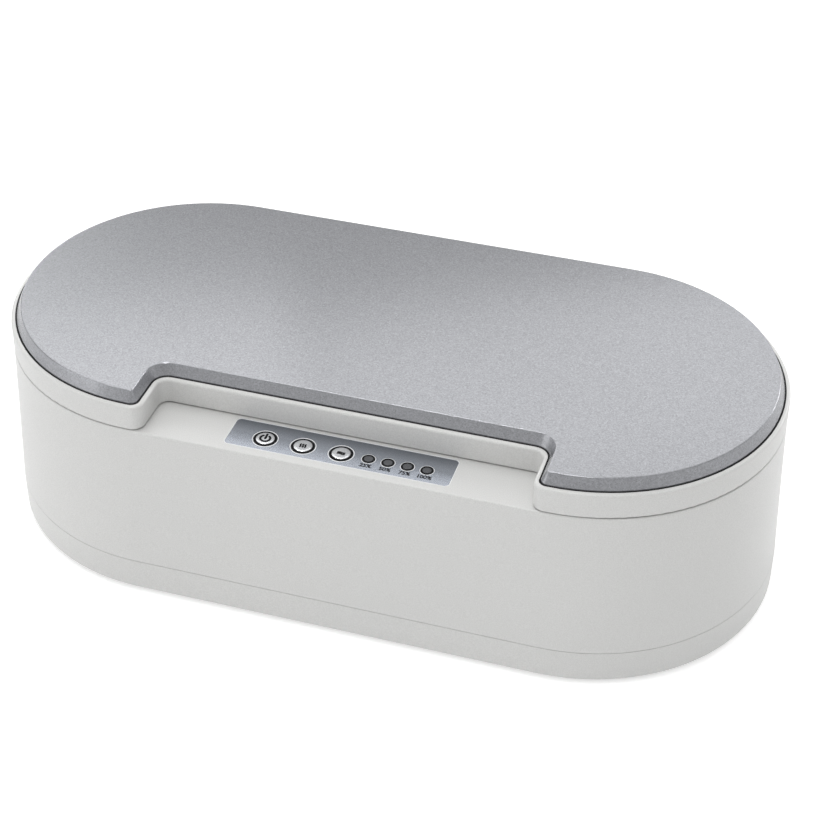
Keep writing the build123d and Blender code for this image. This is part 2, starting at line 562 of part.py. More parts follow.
with BuildPart() as buzzer:
    extrude(discs(MAIN_BOARD_TOP_Z, BUZZER_PLACES, 4.6), amount=BUZZER_HEIGHT)
    sound_hole = discs(MAIN_BOARD_TOP_Z + BUZZER_HEIGHT, BUZZER_PLACES, 0.9)
    extrude(sound_hole, amount=-1.5, mode=Mode.SUBTRACT)
save(buzzer, "buzzer")

INLET_WALL = 0.3
INLET_BACK = 1.2
INLET_TONGUE = (6.7, 0.7)
INLET_TONGUE_LENGTH = 5.0

with BuildPart() as power_inlet:
    for wall, back, mode in ((0, 0, Mode.ADD), (INLET_WALL, INLET_BACK, Mode.SUBTRACT)):
        rear_y = INLET_FACE_Y - INLET_DEPTH + back
        with BuildSketch(Plane.XZ.offset(-rear_y)):
            with Locations((0, INLET_Z)):
                SlotOverall(INLET_LENGTH - 2 * wall, INLET_HEIGHT - 2 * wall)
        extrude(amount=rear_y - INLET_FACE_Y, mode=mode)
    with BuildSketch(Plane.XZ.offset(INLET_DEPTH - INLET_BACK - INLET_FACE_Y)):
        with Locations((0, INLET_Z)):
            Rectangle(*INLET_TONGUE)
    extrude(amount=-INLET_TONGUE_LENGTH)
save(power_inlet, "power_inlet")

# ---- Control board with switches, indicator lamps and light guides ----
CONTROL_BOARD_Y = -44.0
CONTROL_BOARD_SIZE = (82.0, 15.0, 1.5)
SWITCH_SIZE = (4.5, 4.5, 0.4)
SWITCH_HEIGHT = 1.9
PLUNGER_RADIUS = 0.9
PLUNGER_LENGTH = 1.4
PLUNGER_PROUD = 0.8
PLUNGER_TOP_Z = CONTROL_BOARD_TOP_Z + SWITCH_HEIGHT + PLUNGER_PROUD
SWITCH_BORE = PLUNGER_LENGTH - PLUNGER_PROUD + KEY_TRAVEL + 0.3  # the plunger never meets its floor
COLLAR_RADIUS = 4.0
COLLAR_TOP_Z = DECK_Z - 0.1
COLLAR_HEIGHT = 0.9
KEY_STEM_RADIUS = 1.2
KEY_CROWN = 0.25
KEY_PLACES = [(x, CONTROL_Y) for x in KEY_X.values()]
LIGHT_PLACES = [(x, CONTROL_Y) for x in LIGHT_X]
INDICATOR_LAMP_SIZE = (1.6, 0.9)
INDICATOR_LAMP_HEIGHT = 0.7
GUIDE_GAP = 1.0  # between the control board and the light guides
GUIDE_TOP_Z = SEAM_Z - 0.05
GUIDE_BAR_SIZE = (LIGHT_X[-1] - LIGHT_X[0] + 5.0, 4.6, 1.0)
GUIDE_BAR_HEIGHT = 1.0

with BuildPart() as control_board:
    extrude(blocks(CONTROL_BOARD_Z, [(0, CONTROL_BOARD_Y)], *CONTROL_BOARD_SIZE), amount=BOARD_THICKNESS)
    holes = discs(CONTROL_BOARD_Z, CONTROL_POSTS, BOARD_HOLE_RADIUS)
    extrude(holes, amount=BOARD_THICKNESS, mode=Mode.SUBTRACT)
save(control_board, "control_board")

with BuildPart() as tact_switches:
    extrude(blocks(CONTROL_BOARD_TOP_Z, KEY_PLACES, *SWITCH_SIZE), amount=SWITCH_HEIGHT)
    bores = discs(CONTROL_BOARD_TOP_Z + SWITCH_HEIGHT, KEY_PLACES, PLUNGER_RADIUS + CLEARANCE)
    extrude(bores, amount=-SWITCH_BORE, mode=Mode.SUBTRACT)
save(tact_switches, "tact_switches")

for key_name, key_x in KEY_X.items():
    with BuildPart() as key:
        stem = discs(PLUNGER_TOP_Z, [(key_x, CONTROL_Y)], KEY_STEM_RADIUS)
        extrude(stem, amount=COLLAR_TOP_Z - PLUNGER_TOP_Z)
        extrude(discs(COLLAR_TOP_Z, [(key_x, CONTROL_Y)], COLLAR_RADIUS), amount=-COLLAR_HEIGHT)
        extrude(discs(COLLAR_TOP_Z, [(key_x, CONTROL_Y)], KEY_RADIUS), amount=SEAM_Z - COLLAR_TOP_Z)
        fillet(key.edges().group_by(Axis.Z)[-1], radius=KEY_CROWN)
    save(key, f"{key_name}_key")

    with BuildPart() as plunger:
        extrude(discs(PLUNGER_TOP_Z, [(key_x, CONTROL_Y)], PLUNGER_RADIUS), amount=-PLUNGER_LENGTH)
    save(plunger, f"{key_name}_switch_plunger")

with BuildPart() as indicator_lamps:
    extrude(blocks(CONTROL_BOARD_TOP_Z, LIGHT_PLACES, *INDICATOR_LAMP_SIZE), amount=INDICATOR_LAMP_HEIGHT)
save(indicator_lamps, "indicator_lamps")

with BuildPart() as light_guides:
    low_z = CONTROL_BOARD_TOP_Z + GUIDE_GAP
    extrude(discs(low_z, LIGHT_PLACES, LIGHT_RADIUS), amount=GUIDE_TOP_Z - low_z)
    bar_x = (LIGHT_X[0] + LIGHT_X[-1]) / 2
    extrude(blocks(COLLAR_TOP_Z, [(bar_x, CONTROL_Y)], *GUIDE_BAR_SIZE), amount=-GUIDE_BAR_HEIGHT)
save(light_guides, "light_guides")

with BuildPart() as panel_overlay:
    overlay = blocks(PANEL_TOP_Z, [(0, PANEL_Y)], PANEL_LENGTH, PANEL_WIDTH, PANEL_RADIUS)
    extrude(overlay, amount=-PANEL_THICKNESS)
    openings = discs(PANEL_TOP_Z, KEY_PLACES, KEY_HOLE_RADIUS)
    extrude(openings, amount=-PANEL_THICKNESS, mode=Mode.SUBTRACT)
    windows = discs(PANEL_TOP_Z, LIGHT_PLACES, LIGHT_RADIUS + CLEARANCE)
    extrude(windows, amount=-PANEL_THICKNESS, mode=Mode.SUBTRACT)
save(panel_overlay, "panel_overlay")

# ---- Ribbon from the control board down to the main board, and its connectors ----
with BuildPart() as ribbon_connectors:
    size = (RIBBON_WIDTH + 2, CONNECTOR_WIDTH)
    extrude(blocks(CONTROL_BOARD_Z, [(RIBBON_X, RIBBON_DOWN_Y)], *size), amount=-CONNECTOR_HEIGHT)
    extrude(blocks(MAIN_BOARD_TOP_Z, [(RIBBON_X, MAIN_CONNECTOR_Y)], *size), amount=CONNECTOR_HEIGHT)
save(ribbon_connectors, "ribbon_connectors")

with BuildPart() as control_ribbon:
    with BuildSketch(Plane.YZ.offset(RIBBON_X - RIBBON_WIDTH / 2)):
        with BuildLine():
            FilletPolyline(
                (RIBBON_DOWN_Y, CONTROL_BOARD_Z - CONNECTOR_HEIGHT),
                (RIBBON_DOWN_Y, RIBBON_ALONG_Z),
                (MAIN_CONNECTOR_Y - CONNECTOR_WIDTH / 2, RIBBON_ALONG_Z),
                radius=RIBBON_BEND,
            )
        trace(line_width=RIBBON_THICKNESS)
    extrude(amount=RIBBON_WIDTH)
save(control_ribbon, "control_ribbon")

# ---- Screws that hold the boards in the body ----
with BuildPart() as board_screws:
    screws(MAIN_BOARD_TOP_Z, MAIN_BOARD_Z - 4.2, MAIN_BOARD_POSTS, 0.95, 2.0, 1.2)
    screws(FLOOR_LAMP_BOARD_Z, FLOOR_UNDER_Z - 0.4, FLOOR_LAMP_POSTS, 0.95, 1.9, 1.0)
    screws(CONTROL_BOARD_Z, CONTROL_BOARD_TOP_Z + 3.2, CONTROL_POSTS, 0.85, 1.9, 1.0)
save(board_screws, "board_screws")

# ---- Steel catch discs, lid sensor and hinge pins ----
with BuildPart() as catch_discs:
    extrude(discs(DECK_Z, CATCHES, CATCH_RADIUS - 0.05), amount=-CATCH_DEPTH + 0.5)
save(catch_discs, "catch_discs")

with BuildPart() as lid_sensor:
    extrude(blocks(DECK_Z, [SENSOR_PLACE], SENSOR_LENGTH, SENSOR_WIDTH), amount=-SENSOR_HEIGHT)
save(lid_sensor, "lid_sensor")

with BuildPart() as hinge_pins:
    for station_x in STATIONS:
        extrude(hinge_disc(station_x - STATION_HALF, PIN_RADIUS), amount=2 * STATION_HALF)
    chamfer(hinge_pins.edges().filter_by(GeomType.CIRCLE), length=0.2)
save(hinge_pins, "hinge_pins")

# ---- Lid frame: the white rim, with a ledge for the cover and the hinge knuckles ----
RIM_TOP_RADIUS = 0.8
RIM_FOOT_RADIUS = 0.4
PIN_BORE_RADIUS = PIN_RADIUS + 0.05
EAR_SLOT_RADIUS = EAR_RADIUS + 0.25
EAR_SLOT_RISE = 1.4  # the open lid's wall clears the ears' webs up to this height over the axis
MAGNET_LOW_Z = LID_BOTTOM_Z + 0.3
MAGNET_HEIGHT = 3.0
BUMPER_RADIUS = 0.7
BUMPER_SEAT = 1.2
LID_HOLE_RADIUS = 1.15
BUMPERS = [
    *mirrored(40.0, -BOX_WIDTH / 2 + NOTCH_DEPTH + WALL / 2),
    *(end_point(side, angle, WALL / 2) for side in (-1, 1) for angle in (-65, 20)),
]

with BuildPart() as lid_frame:
    extrude(notched(LID_BOTTOM_Z, 0), amount=RIM_TOP_Z - LID_BOTTOM_Z)
    fillet(lid_frame.edges().group_by(Axis.Z)[-1], radius=RIM_TOP_RADIUS)
    fillet(lid_frame.edges().group_by(Axis.Z)[0], radius=RIM_FOOT_RADIUS)
    extrude(notched(LID_BOTTOM_Z, WALL), amount=LEDGE_UNDER_Z - LID_BOTTOM_Z, mode=Mode.SUBTRACT)
    extrude(notched(LEDGE_UNDER_Z, LEDGE_INNER_INSET), amount=LEDGE_THICKNESS, mode=Mode.SUBTRACT)
    extrude(notched(LEDGE_Z, LIP_WIDTH), amount=RIM_TOP_Z - LEDGE_Z, mode=Mode.SUBTRACT)
    # The rear edge is rounded about the hinge axis, so that it turns clear of the body
    with BuildSketch(Plane.YZ) as rear_corner:
        with Locations((HINGE_Y, HINGE_Z)):
            Rectangle(2 * HINGE_RADIUS, 2 * HINGE_RADIUS, align=(Align.MIN, Align.MAX))
            Circle(HINGE_RADIUS, mode=Mode.SUBTRACT)
    extrude(amount=BOX_LENGTH / 2, both=True, mode=Mode.SUBTRACT)
    # Knuckles on the pins, with slots beside them for the body's ears
    for station_x in STATIONS:
        extrude(hinge_disc(station_x - KNUCKLE_WIDTH / 2, HINGE_RADIUS), amount=KNUCKLE_WIDTH)
        bore = hinge_disc(station_x - KNUCKLE_WIDTH / 2, PIN_BORE_RADIUS)
        extrude(bore, amount=KNUCKLE_WIDTH, mode=Mode.SUBTRACT)
    for start_x in EAR_STARTS:
        slot_x = start_x - EAR_GAP
        slot_width = EAR_WIDTH + 2 * EAR_GAP
        extrude(hinge_disc(slot_x, EAR_SLOT_RADIUS), amount=slot_width, mode=Mode.SUBTRACT)
        rear_y = BOX_WIDTH / 2 + 1
        slot = section_block(
            slot_x, HINGE_Y - EAR_SLOT_RADIUS, rear_y, LID_BOTTOM_Z - 1, HINGE_Z + EAR_SLOT_RISE
        )
        extrude(slot, amount=slot_width, mode=Mode.SUBTRACT)
    # Cups for the catch magnets, hung from the ledge
    extrude(discs(LEDGE_UNDER_Z, CATCHES, CATCH_CUP_RADIUS), amount=MAGNET_LOW_Z - LEDGE_UNDER_Z)
    cups = discs(MAGNET_LOW_Z, CATCHES, CATCH_RADIUS + 0.05)
    extrude(cups, amount=MAGNET_HEIGHT, mode=Mode.SUBTRACT)
    extrude(discs(LEDGE_UNDER_Z, LID_SCREWS, LID_HOLE_RADIUS), amount=LEDGE_THICKNESS, mode=Mode.SUBTRACT)
    extrude(discs(LID_BOTTOM_Z, BUMPERS, BUMPER_RADIUS + 0.05), amount=BUMPER_SEAT, mode=Mode.SUBTRACT)
save(lid_frame, "lid_frame")

# ---- Lid cover: the coloured plate, with a skirt, ribs and screw bosses under it ----
COVER_RIB_HEIGHT = 1.0
COVER_RIB_Y = (-22.0, 0.0, 15.0, 36.0)
COVER_RIB_SIZE = (150.0, 1.0)
COVER_BOSS_RADIUS = 2.3
COVER_PILOT_RADIUS = 1.05
COVER_PILOT = 2.6

with BuildPart() as lid_cover:
    plate = notched(LEDGE_Z, COVER_INSET, horn_radius=COVER_HORN_RADIUS)
    extrude(plate, amount=LID_TOP_Z - COVER_BEVEL_DROP - LEDGE_Z)
    extrude(lid_cover.faces().sort_by(Axis.Z)[-1], amount=COVER_BEVEL_DROP, taper=COVER_BEVEL)
    fillet(lid_cover.edges().group_by(Axis.Z)[-1], radius=COVER_EDGE_RADIUS)
    hollow = notched(LEDGE_Z, COVER_INSET + COVER_SKIRT)
    extrude(hollow, amount=COVER_UNDER_Z - LEDGE_Z, mode=Mode.SUBTRACT)
    ribs = blocks(COVER_UNDER_Z, [(0, y) for y in COVER_RIB_Y], *COVER_RIB_SIZE)
    extrude(ribs, amount=-COVER_RIB_HEIGHT)
    extrude(discs(COVER_UNDER_Z, LID_SCREWS, COVER_BOSS_RADIUS), amount=LEDGE_Z - COVER_UNDER_Z)
    extrude(discs(LEDGE_Z, LID_SCREWS, COVER_PILOT_RADIUS), amount=COVER_PILOT, mode=Mode.SUBTRACT)
save(lid_cover, "lid_cover")

# ---- Lid inner panel, with lens holes, lamp board posts and room for the hinge ----
SCREW_SINK = 0.9
SCREW_SINK_RADIUS = 2.1
CUP_GAP = 0.2
HINGE_ROOM = 0.5

with BuildPart() as inner_panel:
    extrude(notched(INNER_PANEL_Z, INNER_PANEL_INSET), amount=INNER_PANEL_THICKNESS)
    lens_holes = discs(INNER_PANEL_Z, LID_LENSES, LENS_RADIUS + CLEARANCE)
    extrude(lens_holes, amount=INNER_PANEL_THICKNESS, mode=Mode.SUBTRACT)
    posts = discs(LEDGE_UNDER_Z, LID_LAMP_POSTS, LAMP_POST_RADIUS)
    extrude(posts, amount=LID_LAMP_BOARD_Z - LEDGE_UNDER_Z)
    pilots = discs(LID_LAMP_BOARD_Z, LID_LAMP_POSTS, LAMP_PILOT_RADIUS)
    extrude(pilots, amount=LEDGE_UNDER_Z - LID_LAMP_BOARD_Z, mode=Mode.SUBTRACT)
    screw_holes = discs(INNER_PANEL_Z, LID_SCREWS, LID_HOLE_RADIUS)
    extrude(screw_holes, amount=INNER_PANEL_THICKNESS, mode=Mode.SUBTRACT)
    extrude(discs(INNER_PANEL_Z, LID_SCREWS, SCREW_SINK_RADIUS), amount=SCREW_SINK, mode=Mode.SUBTRACT)
    cup_holes = discs(INNER_PANEL_Z, CATCHES, CATCH_CUP_RADIUS + CUP_GAP)
    extrude(cup_holes, amount=INNER_PANEL_THICKNESS, mode=Mode.SUBTRACT)
    for station_x in STATIONS:
        room = section_block(
            station_x - STATION_HALF - HINGE_ROOM,
            HINGE_Y - HINGE_RADIUS - HINGE_ROOM,
            BOX_WIDTH / 2,
            INNER_PANEL_Z,
            LEDGE_UNDER_Z,
        )
        extrude(room, amount=2 * (STATION_HALF + HINGE_ROOM), mode=Mode.SUBTRACT)
save(inner_panel, "lid_inner_panel")

# ---- Light seal: a soft strip under the inner panel, over the liner's lip ----
with BuildPart() as light_seal:
    seal_height = INNER_PANEL_Z - LIP_TOP_Z - 2 * CLEARANCE
    extrude(chamber(INNER_PANEL_Z, LINER_WALL + CLEARANCE), amount=-seal_height)
    extrude(chamber(INNER_PANEL_Z, -CLEARANCE), amount=-seal_height, mode=Mode.SUBTRACT)
save(light_seal, "light_seal")

# ---- Lid screws, magnets and bumpers ----
with BuildPart() as lid_screws:
    screws(INNER_PANEL_Z + SCREW_SINK, LEDGE_Z + 2.3, LID_SCREWS, 1.0, 1.9, SCREW_SINK)
save(lid_screws, "lid_screws")

with BuildPart() as lid_board_screws:
    screws(LID_LAMP_BOARD_Z + BOARD_THICKNESS, LEDGE_UNDER_Z + 0.2, LID_LAMP_POSTS, 0.9, 1.8, 0.9)
save(lid_board_screws, "lid_board_screws")

with BuildPart() as lid_magnets:
    extrude(discs(MAGNET_LOW_Z + 0.1, CATCHES, CATCH_RADIUS), amount=MAGNET_HEIGHT - 0.1)
save(lid_magnets, "lid_magnets")

with BuildPart() as lid_bumpers:
    extrude(discs(SEAM_Z + 0.05, BUMPERS, BUMPER_RADIUS), amount=SEAM_GAP - 0.05 + BUMPER_SEAT)
save(lid_bumpers, "lid_bumpers")
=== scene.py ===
import json
import logging
import math
from collections.abc import Callable
from dataclasses import dataclass
from enum import Enum

import bmesh
import bpy
from mathutils import Matrix, Vector, noise


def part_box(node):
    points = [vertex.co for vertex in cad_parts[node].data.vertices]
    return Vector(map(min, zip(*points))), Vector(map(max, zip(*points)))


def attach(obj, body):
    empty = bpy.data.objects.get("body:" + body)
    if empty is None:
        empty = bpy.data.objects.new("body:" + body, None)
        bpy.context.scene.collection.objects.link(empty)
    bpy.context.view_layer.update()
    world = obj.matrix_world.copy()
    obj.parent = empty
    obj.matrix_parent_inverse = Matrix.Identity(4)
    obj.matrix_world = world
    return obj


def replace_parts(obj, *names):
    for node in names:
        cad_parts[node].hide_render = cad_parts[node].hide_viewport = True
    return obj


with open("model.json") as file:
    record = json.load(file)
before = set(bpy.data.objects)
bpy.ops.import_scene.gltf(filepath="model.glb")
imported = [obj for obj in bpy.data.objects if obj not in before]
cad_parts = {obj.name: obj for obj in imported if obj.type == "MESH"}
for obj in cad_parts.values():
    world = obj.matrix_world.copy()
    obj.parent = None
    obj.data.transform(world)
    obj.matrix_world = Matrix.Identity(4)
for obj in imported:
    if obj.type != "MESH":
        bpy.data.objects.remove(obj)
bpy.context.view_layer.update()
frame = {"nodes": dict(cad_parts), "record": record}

log = logging.getLogger("uv_box")

MM = 0.001
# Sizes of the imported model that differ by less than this, in millimetres, count as equal.
TOLERANCE = 0.01
# Angles of the points on a printed line's round end, in degrees.
ROUND_END = (15, 40, 65)

Colour = tuple[float, float, float]
Point = tuple[float, float, float]
Flat = tuple[float, float]
Ring = list[Point]


# ---- Shader effects: node groups that several finishes share ----
class Socket(Enum):
    """The kinds of socket that an effect has."""

    VALUE = "NodeSocketFloat"
    COLOUR = "NodeSocketColor"
    VECTOR = "NodeSocketVector"


class Sheet:
    """Places and joins the nodes of one node tree."""

    def __init__(self, tree: bpy.types.NodeTree) -> None:
        """Keeps the tree.

        Args:
            tree: The node tree of a material, a world or an effect.
        """
        self.tree = tree

    def add(self, kind: str, values: dict[str, object] | None = None, **settings: object) -> bpy.types.Node:
        """Adds a node.

        Args:
            kind: The node's type name.
            values: Values of its input sockets, by name.
            **settings: The node's own properties.

        Returns:
            The new node.
        """
        node = self.tree.nodes.new(kind)
        for name, value in settings.items():
            setattr(node, name, value)
        for name, value in (values or {}).items():
            node.inputs[name].default_value = value
        return node

    def join(self, source: object, target: bpy.types.NodeSocket) -> None:
        """Feeds an input from an output, or with a fixed value.

        Args:
            source: The output socket, or the value.
            target: The input socket.
        """
        if isinstance(source, bpy.types.NodeSocket):
            self.tree.links.new(source, target)
        else:
            target.default_value = source

    def math(self, operation: str, first: bpy.types.NodeSocket, second: object) -> bpy.types.NodeSocket:
        """Adds a calculation.

        Args:
            operation: The Math node's operation.
            first: The output that it starts from.
            second: A number, or another output.

        Returns:
            The result's socket.
        """
        node = self.add("ShaderNodeMath", operation=operation)
        self.join(first, node.inputs[0])
        self.join(second, node.inputs[1])
        return node.outputs[0]

    def noise(
        self, place: bpy.types.NodeSocket, scale: bpy.types.NodeSocket | float, detail: float = 2.0
    ) -> bpy.types.NodeSocket:
        """Adds a soft random pattern.

        Args:
            place: The coordinates.
            scale: Features per metre, as a number or an output.
            detail: How many finer layers it has.

        Returns:
            The pattern's value, from 0 to 1.
        """
        node = self.add("ShaderNodeTexNoise", {"Detail": detail})
        self.join(place, node.inputs["Vector"])
        self.join(scale, node.inputs["Scale"])
        return node.outputs[0]

    def spread(
        self, value: bpy.types.NodeSocket, low: float, high: float, to_low: float = 0.0, to_high: float = 1.0
    ) -> bpy.types.NodeSocket:
        """Stretches a range of values to another range.

        Args:
            value: The output to stretch.
            low: The value that becomes to_low.
            high: The value that becomes to_high.
            to_low: The new low end.
            to_high: The new high end.

        Returns:
            The stretched value.
        """
        names = ("From Min", "From Max", "To Min", "To Max")
        node = self.add("ShaderNodeMapRange", dict(zip(names, (low, high, to_low, to_high))))
        self.join(value, node.inputs["Value"])
        return node.outputs[0]

    def blend(
        self, share: bpy.types.NodeSocket, first: object, second: object, colours: bool = True
    ) -> bpy.types.NodeSocket:
        """Mixes two colours or two values.

        Args:
            share: How much of the second shows.
            first: A colour or value, or an output.
            second: A colour or value, or an output.
            colours: Whether they are colours.

        Returns:
            The mixture.
        """
        node = self.add("ShaderNodeMix", data_type="RGBA" if colours else "FLOAT")
        self.join(share, node.inputs[0])
        for value, socket in zip((first, second), node.inputs[6:8] if colours else node.inputs[2:4]):
            fixed_colour = colours and not isinstance(value, bpy.types.NodeSocket)
            self.join((*value, 1.0) if fixed_colour else value, socket)
        return node.outputs[2] if colours else node.outputs[0]


Wiring = Callable[[Sheet, bpy.types.NodeOutputs, bpy.types.NodeInputs], None]


@dataclass(frozen=True)
class Effect:
    """A shader effect kept as one node group.

    Attributes:
        name: The group's name.
        inputs: Each input's name, kind and usual value.
        outputs: Each output's name and kind.
        wire: Fills the group, given its sheet, its inputs and its outputs.
    """

    name: str
    inputs: tuple[tuple[str, Socket, object], ...]
    outputs: tuple[tuple[str, Socket], ...]
    wire: Wiring

    def tree(self) -> bpy.types.NodeTree:
        """Builds the group the first time, and finds it again after that.

        Returns:
            The group's tree.
        """
        found = bpy.data.node_groups.get(self.name)
        if found is not None:
            return found
        tree = bpy.data.node_groups.new(self.name, "ShaderNodeTree")
        for name, kind, value in self.inputs:
            socket = tree.interface.new_socket(name=name, in_out="INPUT", socket_type=kind.value)
            if kind is not Socket.VECTOR:
                socket.default_value = value
        for name, kind in self.outputs:
            tree.interface.new_socket(name=name, in_out="OUTPUT", socket_type=kind.value)
        sheet = Sheet(tree)
        entry = sheet.add("NodeGroupInput")
        leave = sheet.add("NodeGroupOutput")
        self.wire(sheet, entry.outputs, leave.inputs)
        return tree

    def place(self, sheet: Sheet, where: bpy.types.NodeSocket, **values: object) -> bpy.types.NodeOutputs:
        """Puts the effect in a material.

        Args:
            sheet: The material's sheet.
            where: The coordinates.
            **values: The group's inputs, with _ for each space in a name.

        Returns:
            The group's outputs.
        """
        node = sheet.add("ShaderNodeGroup", node_tree=self.tree())
        sheet.join(where, node.inputs["Vector"])
        for name, value in values.items():
            node.inputs[name.replace("_", " ")].default_value = value
        return node.outputs


def wire_fine_grain(sheet: Sheet, given: bpy.types.NodeOutputs, out: bpy.types.NodeInputs) -> None:
    """Wires a moulded surface's height: a fine spark-eroded grain over a slow swell.

    Args:
        sheet: The group's sheet.
        given: The group's inputs.
        out: The group's outputs.
    """
    grain = sheet.noise(given["Vector"], given["Grain Scale"], 3.0)
    swell = sheet.noise(given["Vector"], given["Swell Scale"], 1.0)
    sheet.join(sheet.blend(given["Swell Share"], grain, swell, colours=False), out["Height"])


def wire_tone_drift(sheet: Sheet, given: bpy.types.NodeOutputs, out: bpy.types.NodeInputs) -> None:
    """Wires a colour that drifts slowly towards a second one.

    Args:
        sheet: The group's sheet.
        given: The group's inputs.
        out: The group's outputs.
    """
    clouds = sheet.spread(sheet.noise(given["Vector"], given["Scale"], 3.0), 0.35, 0.65)
    share = sheet.math("MULTIPLY", clouds, given["Amount"])
    sheet.join(sheet.blend(share, given["Colour"], given["Second Colour"]), out["Colour"])


def wire_settled_dust(sheet: Sheet, given: bpy.types.NodeOutputs, out: bpy.types.NodeInputs) -> None:
    """Wires a mask of fine dust that lies on faces that look up.

    Args:
        sheet: The group's sheet.
        given: The group's inputs.
        out: The group's outputs.
    """
    normal = sheet.add("ShaderNodeSeparateXYZ")
    sheet.join(sheet.add("ShaderNodeNewGeometry").outputs["Normal"], normal.inputs[0])
    up = sheet.spread(normal.outputs["Z"], 0.3, 0.95)
    specks = sheet.spread(sheet.noise(given["Vector"], given["Scale"], 4.0), 0.52, 0.72)
    lying = sheet.math("MULTIPLY", up, specks)
    sheet.join(sheet.math("MULTIPLY", lying, given["Amount"]), out["Mask"])


def wire_metal_flake(sheet: Sheet, given: bpy.types.NodeOutputs, out: bpy.types.NodeInputs) -> None:
    """Wires the flakes of a silver paint: each cell has its own tone and height.

    Args:
        sheet: The group's sheet.
        given: The group's inputs.
        out: The group's outputs.
    """
    cells = sheet.add("ShaderNodeTexVoronoi")
    sheet.join(given["Vector"], cells.inputs["Vector"])
    sheet.join(given["Flake Scale"], cells.inputs["Scale"])
    parts = sheet.add("ShaderNodeSeparateColor")
    sheet.join(cells.outputs["Color"], parts.inputs[0])
    sheet.join(parts.outputs[0], out["Tone"])
    sheet.join(parts.outputs[1], out["Height"])


def wire_brushed_lines(sheet: Sheet, given: bpy.types.NodeOutputs, out: bpy.types.NodeInputs) -> None:
    """Wires the drawn-out scratches of brushed or ground metal.

    Args:
        sheet: The group's sheet.
        given: The group's inputs.
        out: The group's outputs.
    """
    drawn = sheet.add("ShaderNodeVectorMath", operation="MULTIPLY")
    sheet.join(given["Vector"], drawn.inputs[0])
    sheet.join(given["Squeeze"], drawn.inputs[1])
    lines = sheet.noise(drawn.outputs[0], given["Line Scale"], 4.0)
    sheet.join(lines, out["Height"])
    sheet.join(sheet.spread(lines, 0.3, 0.7), out["Tone"])


def wire_fibres(sheet: Sheet, given: bpy.types.NodeOutputs, out: bpy.types.NodeInputs) -> None:
    """Wires the tangled fibres of felt or foam.

    Args:
        sheet: The group's sheet.
        given: The group's inputs.
        out: The group's outputs.
    """
    tangle = sheet.add("ShaderNodeTexNoise", {"Detail": 5.0, "Distortion": 2.5})
    sheet.join(given["Vector"], tangle.inputs["Vector"])
    sheet.join(given["Fibre Scale"], tangle.inputs["Scale"])
    sheet.join(tangle.outputs[0], out["Height"])
    sheet.join(sheet.spread(tangle.outputs[0], 0.35, 0.65), out["Tone"])


def wire_copper_tracks(sheet: Sheet, given: bpy.types.NodeOutputs, out: bpy.types.NodeInputs) -> None:
    """Wires a mask of the copper tracks under a board's solder mask.

    Args:
        sheet: The group's sheet.
        given: The group's inputs.
        out: The group's outputs.
    """
    cells = sheet.add("ShaderNodeTexVoronoi", {"Randomness": 0.75}, distance="CHEBYCHEV")
    sheet.join(given["Vector"], cells.inputs["Vector"])
    sheet.join(given["Track Scale"], cells.inputs["Scale"])
    bands = sheet.math("FRACT", sheet.math("MULTIPLY", cells.outputs["Distance"], 4.0), 0.0)
    sheet.join(sheet.spread(bands, 0.62, 0.68), out["Mask"])


VECTOR_IN = ("Vector", Socket.VECTOR, None)
FINE_GRAIN = Effect(
    "fine_grain",
    (
        VECTOR_IN,
        ("Grain Scale", Socket.VALUE, 3500.0),
        ("Swell Scale", Socket.VALUE, 90.0),
        ("Swell Share", Socket.VALUE, 0.2),
    ),
    (("Height", Socket.VALUE),),
    wire_fine_grain,
)
TONE_DRIFT = Effect(
    "tone_drift",
    (
        VECTOR_IN,
        ("Colour", Socket.COLOUR, (0.8, 0.8, 0.8, 1.0)),
        ("Second Colour", Socket.COLOUR, (0.7, 0.7, 0.7, 1.0)),
        ("Scale", Socket.VALUE, 30.0),
        ("Amount", Socket.VALUE, 0.5),
    ),
    (("Colour", Socket.COLOUR),),
    wire_tone_drift,
)
SETTLED_DUST = Effect(
    "settled_dust",
    (VECTOR_IN, ("Scale", Socket.VALUE, 900.0), ("Amount", Socket.VALUE, 0.1)),
    (("Mask", Socket.VALUE),),
    wire_settled_dust,
)
METAL_FLAKE = Effect(
    "metal_flake",
    (VECTOR_IN, ("Flake Scale", Socket.VALUE, 6000.0)),
    (("Tone", Socket.VALUE), ("Height", Socket.VALUE)),
    wire_metal_flake,
)
BRUSHED_LINES = Effect(
    "brushed_lines",
    (VECTOR_IN, ("Squeeze", Socket.VECTOR, None), ("Line Scale", Socket.VALUE, 2500.0)),
    (("Height", Socket.VALUE), ("Tone", Socket.VALUE)),
    wire_brushed_lines,
)
FIBRES = Effect(
    "fibres",
    (VECTOR_IN, ("Fibre Scale", Socket.VALUE, 1500.0)),
    (("Height", Socket.VALUE), ("Tone", Socket.VALUE)),
    wire_fibres,
)
COPPER_TRACKS = Effect(
    "copper_tracks",
    (VECTOR_IN, ("Track Scale", Socket.VALUE, 180.0)),
    (("Mask", Socket.VALUE),),
    wire_copper_tracks,
)


